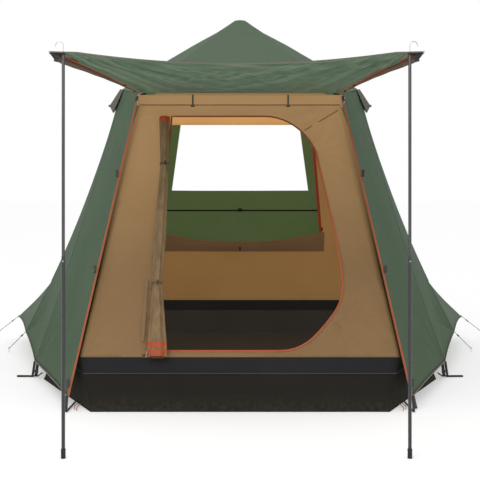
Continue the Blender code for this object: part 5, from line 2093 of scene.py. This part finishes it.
# Awning poles: coated steel tubes. The lower one stands in a ribbed rubber foot and the upper one
# slides in it, held by a spring button; its bright wire hook carries the awning's corner.
POLE_SPREAD = 0.81
POLE_FRONT = 2.13
LOWER_TOP = 0.9462
UPPER_TOP = 1.8977
UPPER_FOOT = 0.59
POLE_LOWER_RADIUS = 0.0086
POLE_UPPER_RADIUS = 0.0076
POLE_FOOT_RADIUS = 0.0115
POLE_FOOT_HEIGHT = 0.045
HOOK_WIRE = 0.0022
HOOK_BEND = 0.018
HOOK_STEM = 0.030
BLACK_RUBBER = resin_finish("black_rubber", (0.014, 0.014, 0.014), 0.75)
# Painted reflection: the upper tube is painted paler than the lower one, for the white backdrop that its
# glossier coat reflects.
UPPER_COAT = resin_finish("upper_tube_coat", (0.060, 0.060, 0.064), 0.26)
LOWER_COAT = resin_finish("lower_tube_coat", (0.028, 0.028, 0.031), 0.30)


def turned_piece(name, profile, base, finish, body, slot, node, sides=40):
    """A piece turned about a vertical axis from (radius, height) pairs, from its foot up."""
    bm = bmesh.new()
    verts = [bm.verts.new((radius, 0.0, height)) for radius, height in profile]
    edges = [bm.edges.new(pair) for pair in zip(verts, verts[1:])]
    bmesh.ops.spin(
        bm,
        geom=verts + edges,
        cent=(0.0, 0.0, 0.0),
        axis=(0.0, 0.0, 1.0),
        angle=math.tau,
        steps=sides,
        use_merge=True,
    )
    bmesh.ops.remove_doubles(bm, verts=bm.verts[:], dist=0.00001)
    bmesh.ops.recalc_face_normals(bm, faces=bm.faces)
    bmesh.ops.translate(bm, verts=bm.verts, vec=base)
    made = mesh_object(name, bm, finish, smooth=False)
    for polygon in made.data.polygons:
        polygon.use_smooth = abs(polygon.normal.z) < 0.5
    fitted(made, body, slot, node)
    return made


def foot_profile():
    """The rubber foot: a rounded sole, three ribs and a soft lip round the tube."""
    profile = [(0.0, 0.0), (POLE_FOOT_RADIUS - 0.002, 0.0), (POLE_FOOT_RADIUS, 0.002)]
    for rib in range(3):
        low = 0.008 + 0.010 * rib
        profile += [
            (POLE_FOOT_RADIUS, low),
            (POLE_FOOT_RADIUS - 0.0012, low + 0.0015),
            (POLE_FOOT_RADIUS - 0.0012, low + 0.0045),
            (POLE_FOOT_RADIUS, low + 0.006),
        ]
    top = POLE_FOOT_HEIGHT
    profile += [(POLE_FOOT_RADIUS, top - 0.0015), (POLE_FOOT_RADIUS - 0.0014, top), (0.0088, top)]
    return profile


def awning_pole(word):
    side = SIDES[word]
    base = Vector((side * POLE_SPREAD + AWNING_DRIFT, -POLE_FRONT, 0.0))
    turned_piece(
        f"rubber_foot_{word}", foot_profile(), base, BLACK_RUBBER, "root", "black_rubber",
        f"pole_foot_{word}",
    )
    lower = [
        (POLE_LOWER_RADIUS - 0.0008, 0.004),
        (POLE_LOWER_RADIUS, 0.005),
        (POLE_LOWER_RADIUS, LOWER_TOP - 0.022),
        (POLE_LOWER_RADIUS - 0.0002, LOWER_TOP - 0.020),
        (POLE_LOWER_RADIUS, LOWER_TOP - 0.018),
        (POLE_LOWER_RADIUS, LOWER_TOP - 0.0006),
        (POLE_LOWER_RADIUS - 0.0004, LOWER_TOP),
        (POLE_UPPER_RADIUS + 0.0002, LOWER_TOP),
        (POLE_UPPER_RADIUS + 0.0002, LOWER_TOP - 0.05),
    ]
    turned_piece(
        f"lower_tube_{word}", lower, base, LOWER_COAT, "root", "steel_tube", f"pole_lower_{word}"
    )
    upper = [
        (POLE_UPPER_RADIUS - 0.0008, UPPER_FOOT),
        (POLE_UPPER_RADIUS, UPPER_FOOT + 0.001),
        (POLE_UPPER_RADIUS, UPPER_TOP - 0.016),
        (POLE_UPPER_RADIUS - 0.0006, UPPER_TOP - 0.015),
        (POLE_UPPER_RADIUS - 0.0006, UPPER_TOP - 0.001),
        (POLE_UPPER_RADIUS - 0.0014, UPPER_TOP),
        (0.0024, UPPER_TOP),
    ]
    turned_piece(
        f"upper_tube_{word}", upper, base, UPPER_COAT, f"{word}_pole", "steel_tube", f"pole_upper_{word}"
    )
    small_block(
        f"spring_button_{word}",
        base + Vector((0.0, -POLE_LOWER_RADIUS - 0.0004, LOWER_TOP - 0.025)),
        UP,
        FORWARDS,
        (0.0055, 0.0022, 0.0055),
        "root",
        BRIGHT_STEEL,
    )
    stem = 1.9003
    top = stem + HOOK_STEM
    points = [base + Vector((0.0, 0.0, stem + HOOK_STEM * step / 6)) for step in range(7)]
    middle = base + Vector((side * HOOK_BEND, 0.0, top))
    for step in range(1, 25):
        angle = math.pi * step / 24
        points.append(
            middle + Vector((-side * HOOK_BEND * math.cos(angle), 0.0, HOOK_BEND * math.sin(angle)))
        )
    points.append(points[-1] + DOWN * HOOK_STEM / 4)
    hook = tube_along(f"wire_hook_{word}", points, HOOK_WIRE, BRIGHT_STEEL, 4)
    fitted(hook, "awning", "bright_steel", f"pole_hook_{word}")


for side_word in SIDES:
    awning_pole(side_word)
